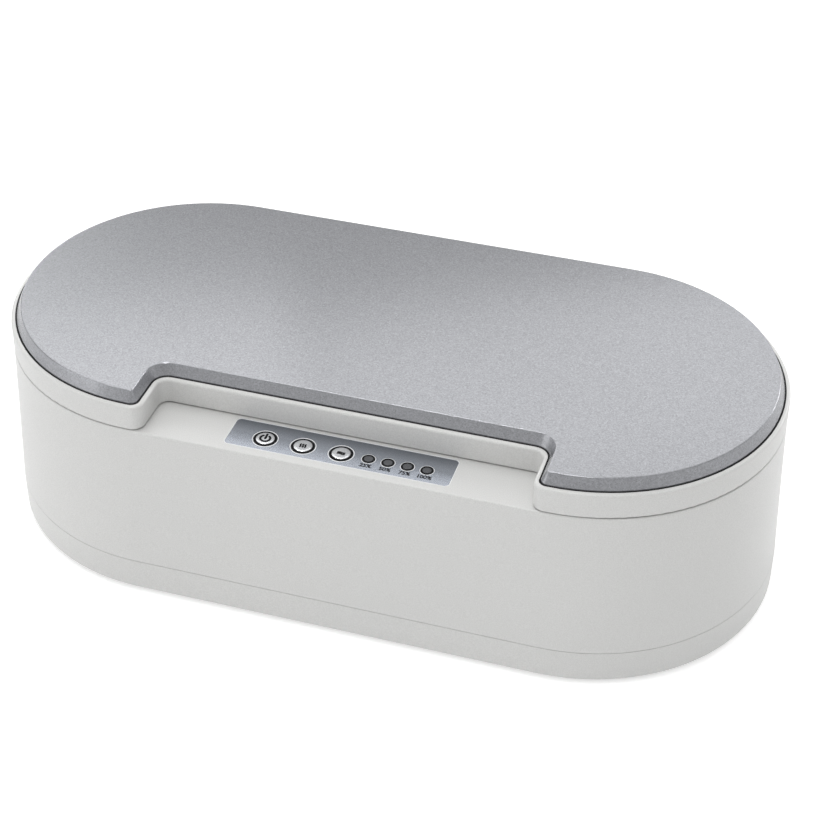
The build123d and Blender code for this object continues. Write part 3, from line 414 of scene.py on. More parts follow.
# ---- Finishes: each builds one material ----
@dataclass(frozen=True)
class Finish:
    """A material's plain facts. Each kind of finish adds its own surface.

    Attributes:
        name: The material's name.
        colour: The main colour, linear.
        roughness: How dull it is.
        metallic: How far it is bare metal.
        coat: How much clear coat lies over it.
        gloss: How strongly it mirrors: 0.5 is usual, and matt print has less.
    """

    name: str
    colour: Colour
    roughness: float
    metallic: float = 0.0
    coat: float = 0.0
    gloss: float = 0.5

    def build(self) -> bpy.types.Material:
        """Makes the material.

        Returns:
            The material, with its surface dressed.
        """
        material = bpy.data.materials.new(self.name)
        material.use_nodes = True
        material.diffuse_color = (*self.colour, 1.0)
        material.node_tree.nodes.clear()
        sheet = Sheet(material.node_tree)
        facts = {"Base Color": (*self.colour, 1.0), "Roughness": self.roughness, "Metallic": self.metallic}
        shader = sheet.add("ShaderNodeBsdfPrincipled", facts)
        shader.inputs["Coat Weight"].default_value = self.coat
        shader.inputs["Specular IOR Level"].default_value = self.gloss
        sheet.join(shader.outputs[0], sheet.add("ShaderNodeOutputMaterial").inputs["Surface"])
        self.dress(sheet, shader, sheet.add("ShaderNodeTexCoord").outputs["Object"])
        return material

    def dress(self, sheet: Sheet, shader: bpy.types.Node, place: bpy.types.NodeSocket) -> None:
        """Adds the surface of this kind of finish.

        Args:
            sheet: The material's sheet.
            shader: Its Principled shader.
            place: The coordinates on the piece.
        """
        raise NotImplementedError

    def toned(self, share: float) -> Colour:
        """The main colour at a share of its brightness."""
        return tuple(c * share for c in self.colour)

    def drifting(
        self, sheet: Sheet, place: bpy.types.NodeSocket, second: Colour, scale: float, amount: float
    ) -> bpy.types.NodeSocket:
        """Lets the main colour drift slowly towards a second one.

        Args:
            sheet: The material's sheet.
            place: The coordinates on the piece.
            second: The second colour.
            scale: Clouds per metre.
            amount: How far it drifts.

        Returns:
            The drifting colour.
        """
        ends = {"Colour": (*self.colour, 1.0), "Second_Colour": (*second, 1.0)}
        return TONE_DRIFT.place(sheet, place, **ends, Scale=scale, Amount=amount)["Colour"]

    def relief(
        self, sheet: Sheet, shader: bpy.types.Node, height: bpy.types.NodeSocket, depth: float
    ) -> None:
        """Turns a height into the shader's normal.

        Args:
            sheet: The material's sheet.
            shader: Its Principled shader.
            height: The height, from 0 to 1.
            depth: How deep the relief is, in millimetres.
        """
        bump = sheet.add("ShaderNodeBump", {"Distance": depth * MM, "Strength": 1.0})
        sheet.join(height, bump.inputs["Height"])
        sheet.join(bump.outputs[0], shader.inputs["Normal"])


@dataclass(frozen=True)
class MouldedPlastic(Finish):
    """Injection-moulded plastic: a fine grain, a slow drift of tone and a little dust.

    Attributes:
        second: The colour that it drifts to.
        drift: How far it drifts.
        drift_scale: Clouds of drift per metre.
        grain: The depth of the grain, in millimetres.
        grain_scale: Grains per metre.
        dust: How much dust lies on it.
        dust_grey: How pale the dust is.
        speckle: How much darker its finest specks are.
        patchy: How far its roughness wanders.
    """

    second: Colour = (0.7, 0.7, 0.68)
    drift: float = 0.4
    drift_scale: float = 14.0
    grain: float = 0.004
    grain_scale: float = 3500.0
    dust: float = 0.04
    dust_grey: float = 0.44
    speckle: float = 0.02
    patchy: float = 0.05

    def dress(self, sheet: Sheet, shader: bpy.types.Node, place: bpy.types.NodeSocket) -> None:
        """Adds grain, drift and dust.

        Args:
            sheet: The material's sheet.
            shader: Its Principled shader.
            place: The coordinates on the piece.
        """
        tone = self.drifting(sheet, place, self.second, self.drift_scale, self.drift)
        dust = SETTLED_DUST.place(sheet, place, Amount=self.dust)["Mask"]
        dusty = tuple((c + self.dust_grey) / 2 for c in self.colour)
        specks = sheet.spread(sheet.noise(place, self.grain_scale), 0.35, 0.65)
        specked = sheet.blend(specks, sheet.blend(dust, tone, dusty), self.toned(1.0 - self.speckle))
        sheet.join(specked, shader.inputs["Base Color"])
        grain = FINE_GRAIN.place(sheet, place, Grain_Scale=self.grain_scale)["Height"]
        low, high = self.roughness - self.patchy, self.roughness + self.patchy
        sheet.join(sheet.spread(grain, 0.25, 0.75, low, high), shader.inputs["Roughness"])
        self.relief(sheet, shader, grain, self.grain)


@dataclass(frozen=True)
class FlakePaint(Finish):
    """Silver paint or printed film with fine flakes.

    Attributes:
        sparkle: How much the flakes differ in tone.
        flake_scale: Flakes per metre.
        depth: The relief of the flakes, in millimetres.
        drift: How far the tone drifts.
        drift_scale: Clouds of drift per metre.
    """

    sparkle: float = 0.16
    flake_scale: float = 6000.0
    depth: float = 0.003
    drift: float = 0.25
    drift_scale: float = 9.0

    def dress(self, sheet: Sheet, shader: bpy.types.Node, place: bpy.types.NodeSocket) -> None:
        """Adds the flakes and a slow drift of tone.

        Args:
            sheet: The material's sheet.
            shader: Its Principled shader.
            place: The coordinates on the piece.
        """
        flake = METAL_FLAKE.place(sheet, place, Flake_Scale=self.flake_scale)
        dark = self.toned(1.0 - self.sparkle)
        tone = self.drifting(sheet, place, dark, self.drift_scale, self.drift)
        flecks = sheet.blend(flake["Tone"], dark, self.toned(1.0 + self.sparkle))
        share = sheet.spread(sheet.noise(place, self.flake_scale / 3.0), 0.3, 0.7, 0.25, 0.75)
        sheet.join(sheet.blend(share, tone, flecks), shader.inputs["Base Color"])
        self.relief(sheet, shader, flake["Height"], self.depth)


@dataclass(frozen=True)
class ShadowedFilm(FlakePaint):
    """Printed film, with painted shade that darkens its tone towards its rear edge, where the notch wall's
    shadow falls.

    Attributes:
        dark_edge: Y where the painted shade is darkest, in millimetres.
        clear_edge: Y where the painted shade ends, in millimetres.
        shade: The painted shade's tone at the dark edge, as a share of the full tone.
    """

    dark_edge: float = -40.6
    clear_edge: float = -45.0
    shade: float = 0.6

    def dress(self, sheet: Sheet, shader: bpy.types.Node, place: bpy.types.NodeSocket) -> None:
        """Adds the flakes and the painted shade.

        Args:
            sheet: The material's sheet.
            shader: Its Principled shader.
            place: The coordinates on the piece.
        """
        super().dress(sheet, shader, place)
        # Painted shade: the film's colour darkens towards its rear edge, where the wall's shadow falls.
        parts = sheet.add("ShaderNodeSeparateXYZ")
        sheet.join(place, parts.inputs[0])
        share = sheet.spread(parts.outputs["Y"], self.clear_edge * MM, self.dark_edge * MM)
        printed = shader.inputs["Base Color"].links[0].from_socket
        sheet.join(sheet.blend(share, printed, self.toned(self.shade)), shader.inputs["Base Color"])


@dataclass(frozen=True)
class MetallisedLining(Finish):
    """Vacuum-metallised plastic: mirror bright, with the slight orange peel of the moulding under it.

    Attributes:
        peel: The depth of the orange peel, in millimetres.
        peel_scale: Dimples of orange peel per metre.
        wiped: How much duller the wiping marks are.
        wipe_scale: Wiping marks per metre.
    """

    peel: float = 0.012
    peel_scale: float = 260.0
    wiped: float = 0.1
    wipe_scale: float = 160.0

    def dress(self, sheet: Sheet, shader: bpy.types.Node, place: bpy.types.NodeSocket) -> None:
        """Adds orange peel and faint wiping marks.

        Args:
            sheet: The material's sheet.
            shader: Its Principled shader.
            place: The coordinates on the piece.
        """
        sizes = {"Grain_Scale": self.peel_scale, "Swell_Scale": 40.0, "Swell_Share": 0.5}
        peel = FINE_GRAIN.place(sheet, place, **sizes)["Height"]
        strokes = {"Squeeze": (1.0, 0.25, 1.0), "Line_Scale": self.wipe_scale}
        marks = BRUSHED_LINES.place(sheet, place, **strokes)["Tone"]
        dulled = sheet.spread(marks, 0.0, 1.0, self.roughness, self.roughness + self.wiped)
        sheet.join(dulled, shader.inputs["Roughness"])
        self.relief(sheet, shader, peel, self.peel)


@dataclass(frozen=True)
class BrushedMetal(Finish):
    """Metal with the lines of its making.

    Attributes:
        squeeze: How far the lines are drawn out along each axis: a small number draws them out.
        line_scale: Lines per metre.
        depth: The depth of the lines, in millimetres.
        shade: The tone in the lines, as a share of the full tone.
        patchy: How far its roughness wanders.
    """

    squeeze: Point = (1.0, 1.0, 0.08)
    line_scale: float = 2500.0
    depth: float = 0.004
    shade: float = 0.82
    patchy: float = 0.08

    def dress(self, sheet: Sheet, shader: bpy.types.Node, place: bpy.types.NodeSocket) -> None:
        """Adds the lines.

        Args:
            sheet: The material's sheet.
            shader: Its Principled shader.
            place: The coordinates on the piece.
        """
        lines = BRUSHED_LINES.place(sheet, place, Squeeze=self.squeeze, Line_Scale=self.line_scale)
        lined = sheet.blend(lines["Tone"], self.toned(self.shade), self.colour)
        sheet.join(lined, shader.inputs["Base Color"])
        low, high = self.roughness - self.patchy, self.roughness + self.patchy
        sheet.join(sheet.spread(lines["Tone"], 0.0, 1.0, low, high), shader.inputs["Roughness"])
        self.relief(sheet, shader, lines["Height"], self.depth)


@dataclass(frozen=True)
class SoftFibre(Finish):
    """Felt or open foam.

    Attributes:
        fibre_scale: Fibres per metre.
        depth: The relief, in millimetres.
        sheen: The soft glow of loose fibres at the edges.
        shade: The tone between the fibres, as a share of the full tone.
    """

    fibre_scale: float = 1500.0
    depth: float = 0.12
    sheen: float = 0.3
    shade: float = 0.7

    def dress(self, sheet: Sheet, shader: bpy.types.Node, place: bpy.types.NodeSocket) -> None:
        """Adds the fibres.

        Args:
            sheet: The material's sheet.
            shader: Its Principled shader.
            place: The coordinates on the piece.
        """
        shader.inputs["Sheen Weight"].default_value = self.sheen
        fibres = FIBRES.place(sheet, place, Fibre_Scale=self.fibre_scale)
        tangled = sheet.blend(fibres["Tone"], self.toned(self.shade), self.colour)
        sheet.join(tangled, shader.inputs["Base Color"])
        self.relief(sheet, shader, fibres["Height"], self.depth)


@dataclass(frozen=True)
class SolderMask(Finish):
    """A circuit board: a glossy mask over copper tracks.

    Attributes:
        track: The mask's colour where copper lies under it.
        track_scale: Track fields per metre.
        depth: How far the tracks stand up, in millimetres.
    """

    track: Colour = (0.1, 0.4, 0.24)
    track_scale: float = 180.0
    depth: float = 0.03

    def dress(self, sheet: Sheet, shader: bpy.types.Node, place: bpy.types.NodeSocket) -> None:
        """Adds the tracks.

        Args:
            sheet: The material's sheet.
            shader: Its Principled shader.
            place: The coordinates on the piece.
        """
        tracks = COPPER_TRACKS.place(sheet, place, Track_Scale=self.track_scale)["Mask"]
        sheet.join(sheet.blend(tracks, self.colour, self.track), shader.inputs["Base Color"])
        self.relief(sheet, shader, tracks, self.depth)


@dataclass(frozen=True)
class ClearQuartz(Finish):
    """Fused quartz, faintly uneven at its faces.

    Attributes:
        bending: Its refractive index.
        uneven_scale: Swells per metre.
        depth: The depth of the swells, in millimetres.
    """

    bending: float = 1.46
    uneven_scale: float = 400.0
    depth: float = 0.002

    def dress(self, sheet: Sheet, shader: bpy.types.Node, place: bpy.types.NodeSocket) -> None:
        """Makes it clear and adds the unevenness.

        Args:
            sheet: The material's sheet.
            shader: Its Principled shader.
            place: The coordinates on the piece.
        """
        shader.inputs["Transmission Weight"].default_value = 1.0
        shader.inputs["IOR"].default_value = self.bending
        self.relief(sheet, shader, sheet.noise(place, self.uneven_scale), self.depth)


@dataclass(frozen=True)
class LitAcrylic(Finish):
    """The studio's floor: white acrylic, lit softly from below.

    Attributes:
        second: The colour that it drifts to.
        drift: How far it drifts.
        drift_scale: Clouds of drift per metre.
        glow: How bright it glows.
        lift: How much brighter it is to the camera, which keeps the ground white.
    """

    second: Colour = (0.72, 0.72, 0.72)
    drift: float = 0.3
    drift_scale: float = 2.0
    glow: float = 0.265
    lift: float = 0.18

    def dress(self, sheet: Sheet, shader: bpy.types.Node, place: bpy.types.NodeSocket) -> None:
        """Adds the glow and a faint unevenness.

        Args:
            sheet: The material's sheet.
            shader: Its Principled shader.
            place: The coordinates on the piece.
        """
        rays = sheet.add("ShaderNodeLightPath")
        glow = sheet.math("ADD", sheet.math("MULTIPLY", rays.outputs["Is Camera Ray"], self.lift), self.glow)
        sheet.join(glow, shader.inputs["Emission Strength"])
        shader.inputs["Emission Color"].default_value = (1.0, 1.0, 1.0, 1.0)
        tone = self.drifting(sheet, place, self.second, self.drift_scale, self.drift)
        sheet.join(tone, shader.inputs["Base Color"])


FINISHES: dict[str, Finish] = {
    "white_plastic": MouldedPlastic(
        "white_satin_plastic", (0.63, 0.63, 0.62), 0.34, second=(0.596, 0.601, 0.592), drift=0.6, speckle=0.12
    ),
    "cover_plastic": FlakePaint(
        "silver_grey_paint", (0.325, 0.33, 0.348), 0.24, metallic=0.6, sparkle=0.3, flake_scale=3400.0
    ),
    # The panel film carries painted shade towards its rear edge.
    "panel_film": ShadowedFilm("silver_blue_film", (0.36, 0.385, 0.43), 0.24, metallic=0.8, sparkle=0.25),
    "key_plastic": FlakePaint("silver_key", (0.72, 0.73, 0.75), 0.2, metallic=0.9, sparkle=0.1),
    "plunger_plastic": MouldedPlastic("cream_nylon", (0.62, 0.58, 0.48), 0.5, second=(0.55, 0.52, 0.42)),
    "smoked_window": MouldedPlastic(
        "smoked_window", (0.066, 0.068, 0.074), 0.25, coat=0.3,
        second=(0.055, 0.057, 0.064), grain=0.001, dust=0.1,
    ),
    "mirror_lining": MetallisedLining("mirror_lining", (0.86, 0.87, 0.88), 0.12, metallic=1.0),
    "grille_plastic": MouldedPlastic("grille_plastic", (0.66, 0.67, 0.68), 0.4, second=(0.6, 0.61, 0.63)),
    "felt": SoftFibre("pressed_felt", (0.82, 0.8, 0.74), 0.95),
    "heater_ceramic": MouldedPlastic(
        "heater_ceramic", (0.78, 0.75, 0.68), 0.8, second=(0.68, 0.64, 0.56), grain=0.02
    ),
    "quartz": ClearQuartz("clear_quartz", (0.95, 0.97, 1.0), 0.03),
    "lamp_ceramic": MouldedPlastic(
        "lamp_ceramic", (0.83, 0.8, 0.7), 0.55, second=(0.78, 0.74, 0.64), grain=0.01
    ),
    "lamp_board": SolderMask("white_lamp_board", (0.82, 0.83, 0.82), 0.35, track=(0.74, 0.75, 0.74)),
    "circuit_board": SolderMask(
        "green_board", (0.02, 0.16, 0.08), 0.3, track=(0.05, 0.28, 0.14), track_scale=260.0
    ),
    "chip_plastic": MouldedPlastic(
        "black_epoxy", (0.02, 0.02, 0.022), 0.5, second=(0.03, 0.03, 0.032), grain=0.012
    ),
    "capacitor_can": BrushedMetal(
        "capacitor_can", (0.72, 0.73, 0.75), 0.3, metallic=1.0, squeeze=(1.0, 1.0, 0.1)
    ),
    "inlet_steel": BrushedMetal(
        "nickel_shell", (0.68, 0.67, 0.65), 0.28, metallic=1.0, squeeze=(1.0, 0.1, 1.0)
    ),
    "ribbon_film": MouldedPlastic(
        "ribbon_film", (0.72, 0.7, 0.62), 0.35, second=(0.6, 0.58, 0.5), grain=0.002
    ),
    "screw_steel": BrushedMetal(
        "zinc_plate", (0.62, 0.63, 0.66), 0.32, metallic=1.0, squeeze=(0.4, 0.4, 1.0)
    ),
    "pin_steel": BrushedMetal("ground_pin", (0.66, 0.66, 0.67), 0.22, metallic=1.0, squeeze=(0.15, 1.0, 1.0)),
    "magnet_plate": BrushedMetal("nickel_plate", (0.7, 0.69, 0.67), 0.2, metallic=1.0, line_scale=1200.0),
    "foot_rubber": MouldedPlastic(
        "grey_rubber", (0.1, 0.1, 0.105), 0.85, second=(0.14, 0.14, 0.14), grain=0.03, dust=0.3
    ),
    "seal_rubber": SoftFibre("seal_foam", (0.035, 0.035, 0.038), 0.9, fibre_scale=2600.0, depth=0.05),
}
PRINT_FINISHES: dict[str, Finish] = {
    "ink": MouldedPlastic(
        "black_ink", (0.006, 0.006, 0.007), 0.6, gloss=0.12,
        second=(0.01, 0.01, 0.011), grain=0.002, dust=0.01,
    ),
    # Near-black for the cover's joint bead, which stands in for the joint's shadow: painted shade.
    "bead": MouldedPlastic(
        "black_joint_shadow", (0.008, 0.008, 0.009), 0.6, gloss=0.15,
        second=(0.012, 0.012, 0.013), grain=0.004, dust=0.01,
    ),
    # Pale trim for the collars and the film's edge bead: its paleness stands in for bright edges, a painted
    # highlight.
    "trim": MouldedPlastic(
        "pale_highlight_trim", (0.8, 0.81, 0.82), 0.35, second=(0.77, 0.78, 0.8), grain=0.001, dust=0.02
    ),
    "gold": BrushedMetal("gold_contact", (0.9, 0.65, 0.28), 0.22, metallic=1.0, squeeze=(1.0, 0.1, 1.0)),
    "chip": MouldedPlastic(
        "lamp_chip", (0.16, 0.12, 0.3), 0.2, coat=0.6, second=(0.2, 0.16, 0.36), grain=0.001
    ),
    "floor": LitAcrylic("studio_floor", (0.75, 0.75, 0.75), 0.75),
}


class Palette:
    """The materials, each built the first time that a piece asks for it."""

    def __init__(self) -> None:
        """Starts with none."""
        self.made: dict[str, bpy.types.Material] = {}

    def get(self, name: str) -> bpy.types.Material:
        """Finds or builds a material.

        Args:
            name: A material slot of the record, or a key of PRINT_FINISHES.

        Returns:
            The material.
        """
        if name not in self.made:
            finish = FINISHES.get(name) or PRINT_FINISHES[name]
            self.made[name] = finish.build()
        return self.made[name]


PALETTE = Palette()


# ---- Mesh making ----
@dataclass(frozen=True)
class Block:
    """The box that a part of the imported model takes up, in millimetres.

    Attributes:
        low: The lowest corner.
        high: The highest corner.
    """

    low: Vector
    high: Vector

    @property
    def centre(self) -> Vector:
        """The middle of the box."""
        return (self.low + self.high) / 2

    @property
    def half(self) -> Vector:
        """Half the box's size along each axis."""
        return (self.high - self.low) / 2

    @classmethod
    def around(cls, points: list[Vector]) -> "Block":
        """Measures a solid.

        Args:
            points: Its points, in millimetres.

        Returns:
            The box that it takes up.
        """
        low = Vector(min(p[i] for p in points) for i in range(3))
        high = Vector(max(p[i] for p in points) for i in range(3))
        return cls(low, high)


def block_of(node: str) -> Block:
    """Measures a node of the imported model.

    Args:
        node: The node's name.

    Returns:
        Its box, in millimetres.
    """
    low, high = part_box(node)
    return Block(low / MM, high / MM)


def solids_of(node: str) -> list[list[Vector]]:
    """Sorts a node's points into its separate solids.

    Args:
        node: The node's name.

    Returns:
        The points of each solid, in millimetres, from left to right.
    """
    work = bmesh.new()
    work.from_mesh(frame["nodes"][node].data)
    bmesh.ops.remove_doubles(work, verts=work.verts, dist=0.001 * MM)
    left = set(work.verts)
    solids: list[list[Vector]] = []
    for start in work.verts:
        if start not in left:
            continue
        left.remove(start)
        reached = [start]
        for vert in reached:
            fresh = [v for edge in vert.link_edges if (v := edge.other_vert(vert)) in left]
            left.difference_update(fresh)
            reached.extend(fresh)
        solids.append([v.co / MM for v in reached])
    work.free()
    return sorted(solids, key=lambda points: (round(min(p.x for p in points), 1), min(p.y for p in points)))


def set_up(name: str, mesh: bpy.types.Mesh, material: str, body: str) -> bpy.types.Object:
    """Makes a piece from a mesh, with its finish, and lets it ride on a body.

    Args:
        name: The piece's name.
        mesh: Its mesh.
        material: The name of its finish.
        body: The body that it moves with.

    Returns:
        The piece.
    """
    mesh.materials.clear()
    mesh.materials.append(PALETTE.get(material))
    piece = bpy.data.objects.new(name, mesh)
    bpy.context.scene.collection.objects.link(piece)
    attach(piece, body)
    log.info("%s: %d faces on %s", name, len(mesh.polygons), body)
    return piece


def circle(steps: int, turned: float = 0.0) -> list[Flat]:
    """Points round a circle of radius 1.

    Args:
        steps: How many points it has.
        turned: How far the first point lies from the X axis, in steps.

    Returns:
        Its points.
    """
    turns = [2 * math.pi * (i + turned) / steps for i in range(steps)]
    return [(math.cos(t), math.sin(t)) for t in turns]


def ring_of(shape: list[Flat], centre: Flat, size: float, height: float) -> Ring:
    """Sizes a flat shape and lays it at a height.

    Args:
        shape: The points of one round.
        centre: Where its middle goes.
        size: How much larger it becomes.
        height: The height.

    Returns:
        The ring.
    """
    return [(centre[0] + size * x, centre[1] + size * y, height) for x, y in shape]


class Stock:
    """Gathers the points and faces of one piece, which may be several solids."""

    def __init__(self) -> None:
        """Starts empty."""
        self.points: list[Point] = []
        self.faces: list[tuple[int, ...]] = []

    def skin(self, rings: list[Ring], ends: bool = True, loop: bool = False) -> None:
        """Joins rings of points into a tube.

        Args:
            rings: Closed rings with the same number of points.
            ends: Whether the first and last ring are closed with a face.
            loop: Whether the last ring joins the first, as in a hoop.
        """
        start = len(self.points)
        count = len(rings[0])
        for ring in rings:
            self.points.extend(ring)
        pairs = len(rings) if loop else len(rings) - 1
        for i in range(pairs):
            a = start + i * count
            b = start + (i + 1) % len(rings) * count
            for j in range(count):
                k = (j + 1) % count
                self.faces.append((a + j, a + k, b + k, b + j))
        if ends and not loop:
            self.faces.append(tuple(range(start + count - 1, start - 1, -1)))
            self.faces.append(tuple(range(start + (len(rings) - 1) * count, len(self.points))))

    def lathe(self, centre: Flat, profile: list[Flat], steps: int = 48, hoop: bool = False) -> None:
        """Turns a profile about an upright axis.

        Args:
            centre: The axis.
            profile: Radius and height of each ring.
            steps: Points around a ring.
            hoop: Whether the profile is a closed loop away from the axis.
        """
        shape = circle(steps)
        rings = [ring_of(shape, centre, radius, height) for radius, height in profile]
        self.skin(rings, ends=not hoop, loop=hoop)

    def slab(self, outline: list[Flat], low: float, high: float) -> None:
        """Adds an upright solid with that outline.

        Args:
            outline: The points of one round.
            low: The height of its first face.
            high: The height of its other face, which may be the lower one.
        """
        self.skin([[(x, y, z) for x, y in outline] for z in (low, high)])

    def stroke(self, line: list[Flat], width: float, low: float, high: float) -> None:
        """Adds a printed line with round ends.

        Args:
            line: The points that its middle passes.
            width: Its width.
            low: The height of its underside.
            high: The height of its top.
        """
        half = width / 2
        turns = [math.radians(a) for a in ROUND_END]
        path = [Vector(p) for p in line]
        first, last = (path[0] - path[1]).normalized(), (path[-1] - path[-2]).normalized()
        before = [path[0] + first * half * math.cos(t) for t in turns]
        after = [path[-1] + last * half * math.cos(t) for t in turns[::-1]]
        along = before + path + after
        rounded = [half * math.sin(t) for t in turns]
        widths = rounded + [half] * len(path) + rounded[::-1]
        rings: list[Ring] = []
        for i, (at, reach) in enumerate(zip(along, widths)):
            ahead = along[min(i + 1, len(along) - 1)] - along[max(i - 1, 0)]
            side = Vector((-ahead.y, ahead.x)).normalized() * reach
            corners = ((at + side, low), (at + side, high), (at - side, high), (at - side, low))
            rings.append([(*edge, z) for edge, z in corners])
        self.skin(rings)

    def piece(self, name: str, material: str, body: str, sharp: float = 35.0) -> bpy.types.Object:
        """Makes the piece, with every face turned outwards.

        Args:
            name: Its name.
            material: The name of its finish.
            body: The body that it moves with.
            sharp: Edges that turn by more than this many degrees stay sharp.

        Returns:
            The piece.
        """
        mesh = bpy.data.meshes.new(name)
        mesh.from_pydata([tuple(c * MM for c in p) for p in self.points], [], self.faces)
        work = bmesh.new()
        work.from_mesh(mesh)
        bmesh.ops.recalc_face_normals(work, faces=work.faces)
        work.to_mesh(mesh)
        work.free()
        mesh.shade_smooth()
        mesh.set_sharp_from_angle(angle=math.radians(sharp))
        return set_up(name, mesh, material, body)


def rectangle(centre: Flat, half: Flat) -> list[Flat]:
    """The corners of a rectangle.

    Args:
        centre: Its middle.
        half: Half its size in X and Y.

    Returns:
        Its four corners in order.
    """
    signs = ((-1, -1), (1, -1), (1, 1), (-1, 1))
    return [(centre[0] + x * half[0], centre[1] + y * half[1]) for x, y in signs]


def wave(centre: Flat, length: float, swing: float, upright: bool, steps: int = 16) -> list[Flat]:
    """A gently waving line.

    Args:
        centre: Its middle.
        length: Its length.
        swing: How far it swings to each side.
        upright: Whether it runs along Y, not X.
        steps: How many points it has.

    Returns:
        Its points.
    """
    line = []
    for i in range(steps + 1):
        along = (i / steps - 0.5) * length
        across = swing * math.sin(2 * math.pi * i / steps)
        step = (across, along) if upright else (along, across)
        line.append((centre[0] + step[0], centre[1] + step[1]))
    return line


def arc(centre: Flat, radius: float, start: float, end: float, steps: int) -> list[Flat]:
    """Points along an arc.

    Args:
        centre: Its centre.
        radius: Its radius.
        start: The first angle, in degrees.
        end: The last angle, in degrees.
        steps: How many parts it has.

    Returns:
        Its points.
    """
    angles = [math.radians(start + (end - start) * i / steps) for i in range(steps + 1)]
    return [(centre[0] + radius * math.cos(a), centre[1] + radius * math.sin(a)) for a in angles]


# ---- Control panel ----
class KeyMark(Enum):
    """The mark on a key."""

    POWER = "power"
    UPRIGHT_WAVES = "upright_waves"
    LEVEL_WAVES = "level_waves"


@dataclass(frozen=True)
class HighlightCollar:
    """A low pale ring standing a little over the film, whose paleness stands in for the bright edge round a
    hole: a painted highlight.

    Attributes:
        inner: Its inner radius.
        outer: Its outer radius.
        root: How far it starts under the film's top.
        rise: How far it stands over the film's top.
        slope: Width of each slanted side.
    """

    inner: float
    outer: float
    root: float = 0.03
    rise: float = 0.05
    slope: float = 0.06

    def add(self, stock: Stock, centre: Flat, seat: float) -> None:
        """Adds the ring.

        Args:
            stock: Where its faces go.
            centre: Its centre.
            seat: The height of the film's top.
        """
        low, high = seat - self.root, seat + self.rise
        foot = [(self.inner, low), (self.outer, low)]
        top = [(self.outer - self.slope, high), (self.inner + self.slope, high)]
        stock.lathe(centre, foot + top, 64, hoop=True)


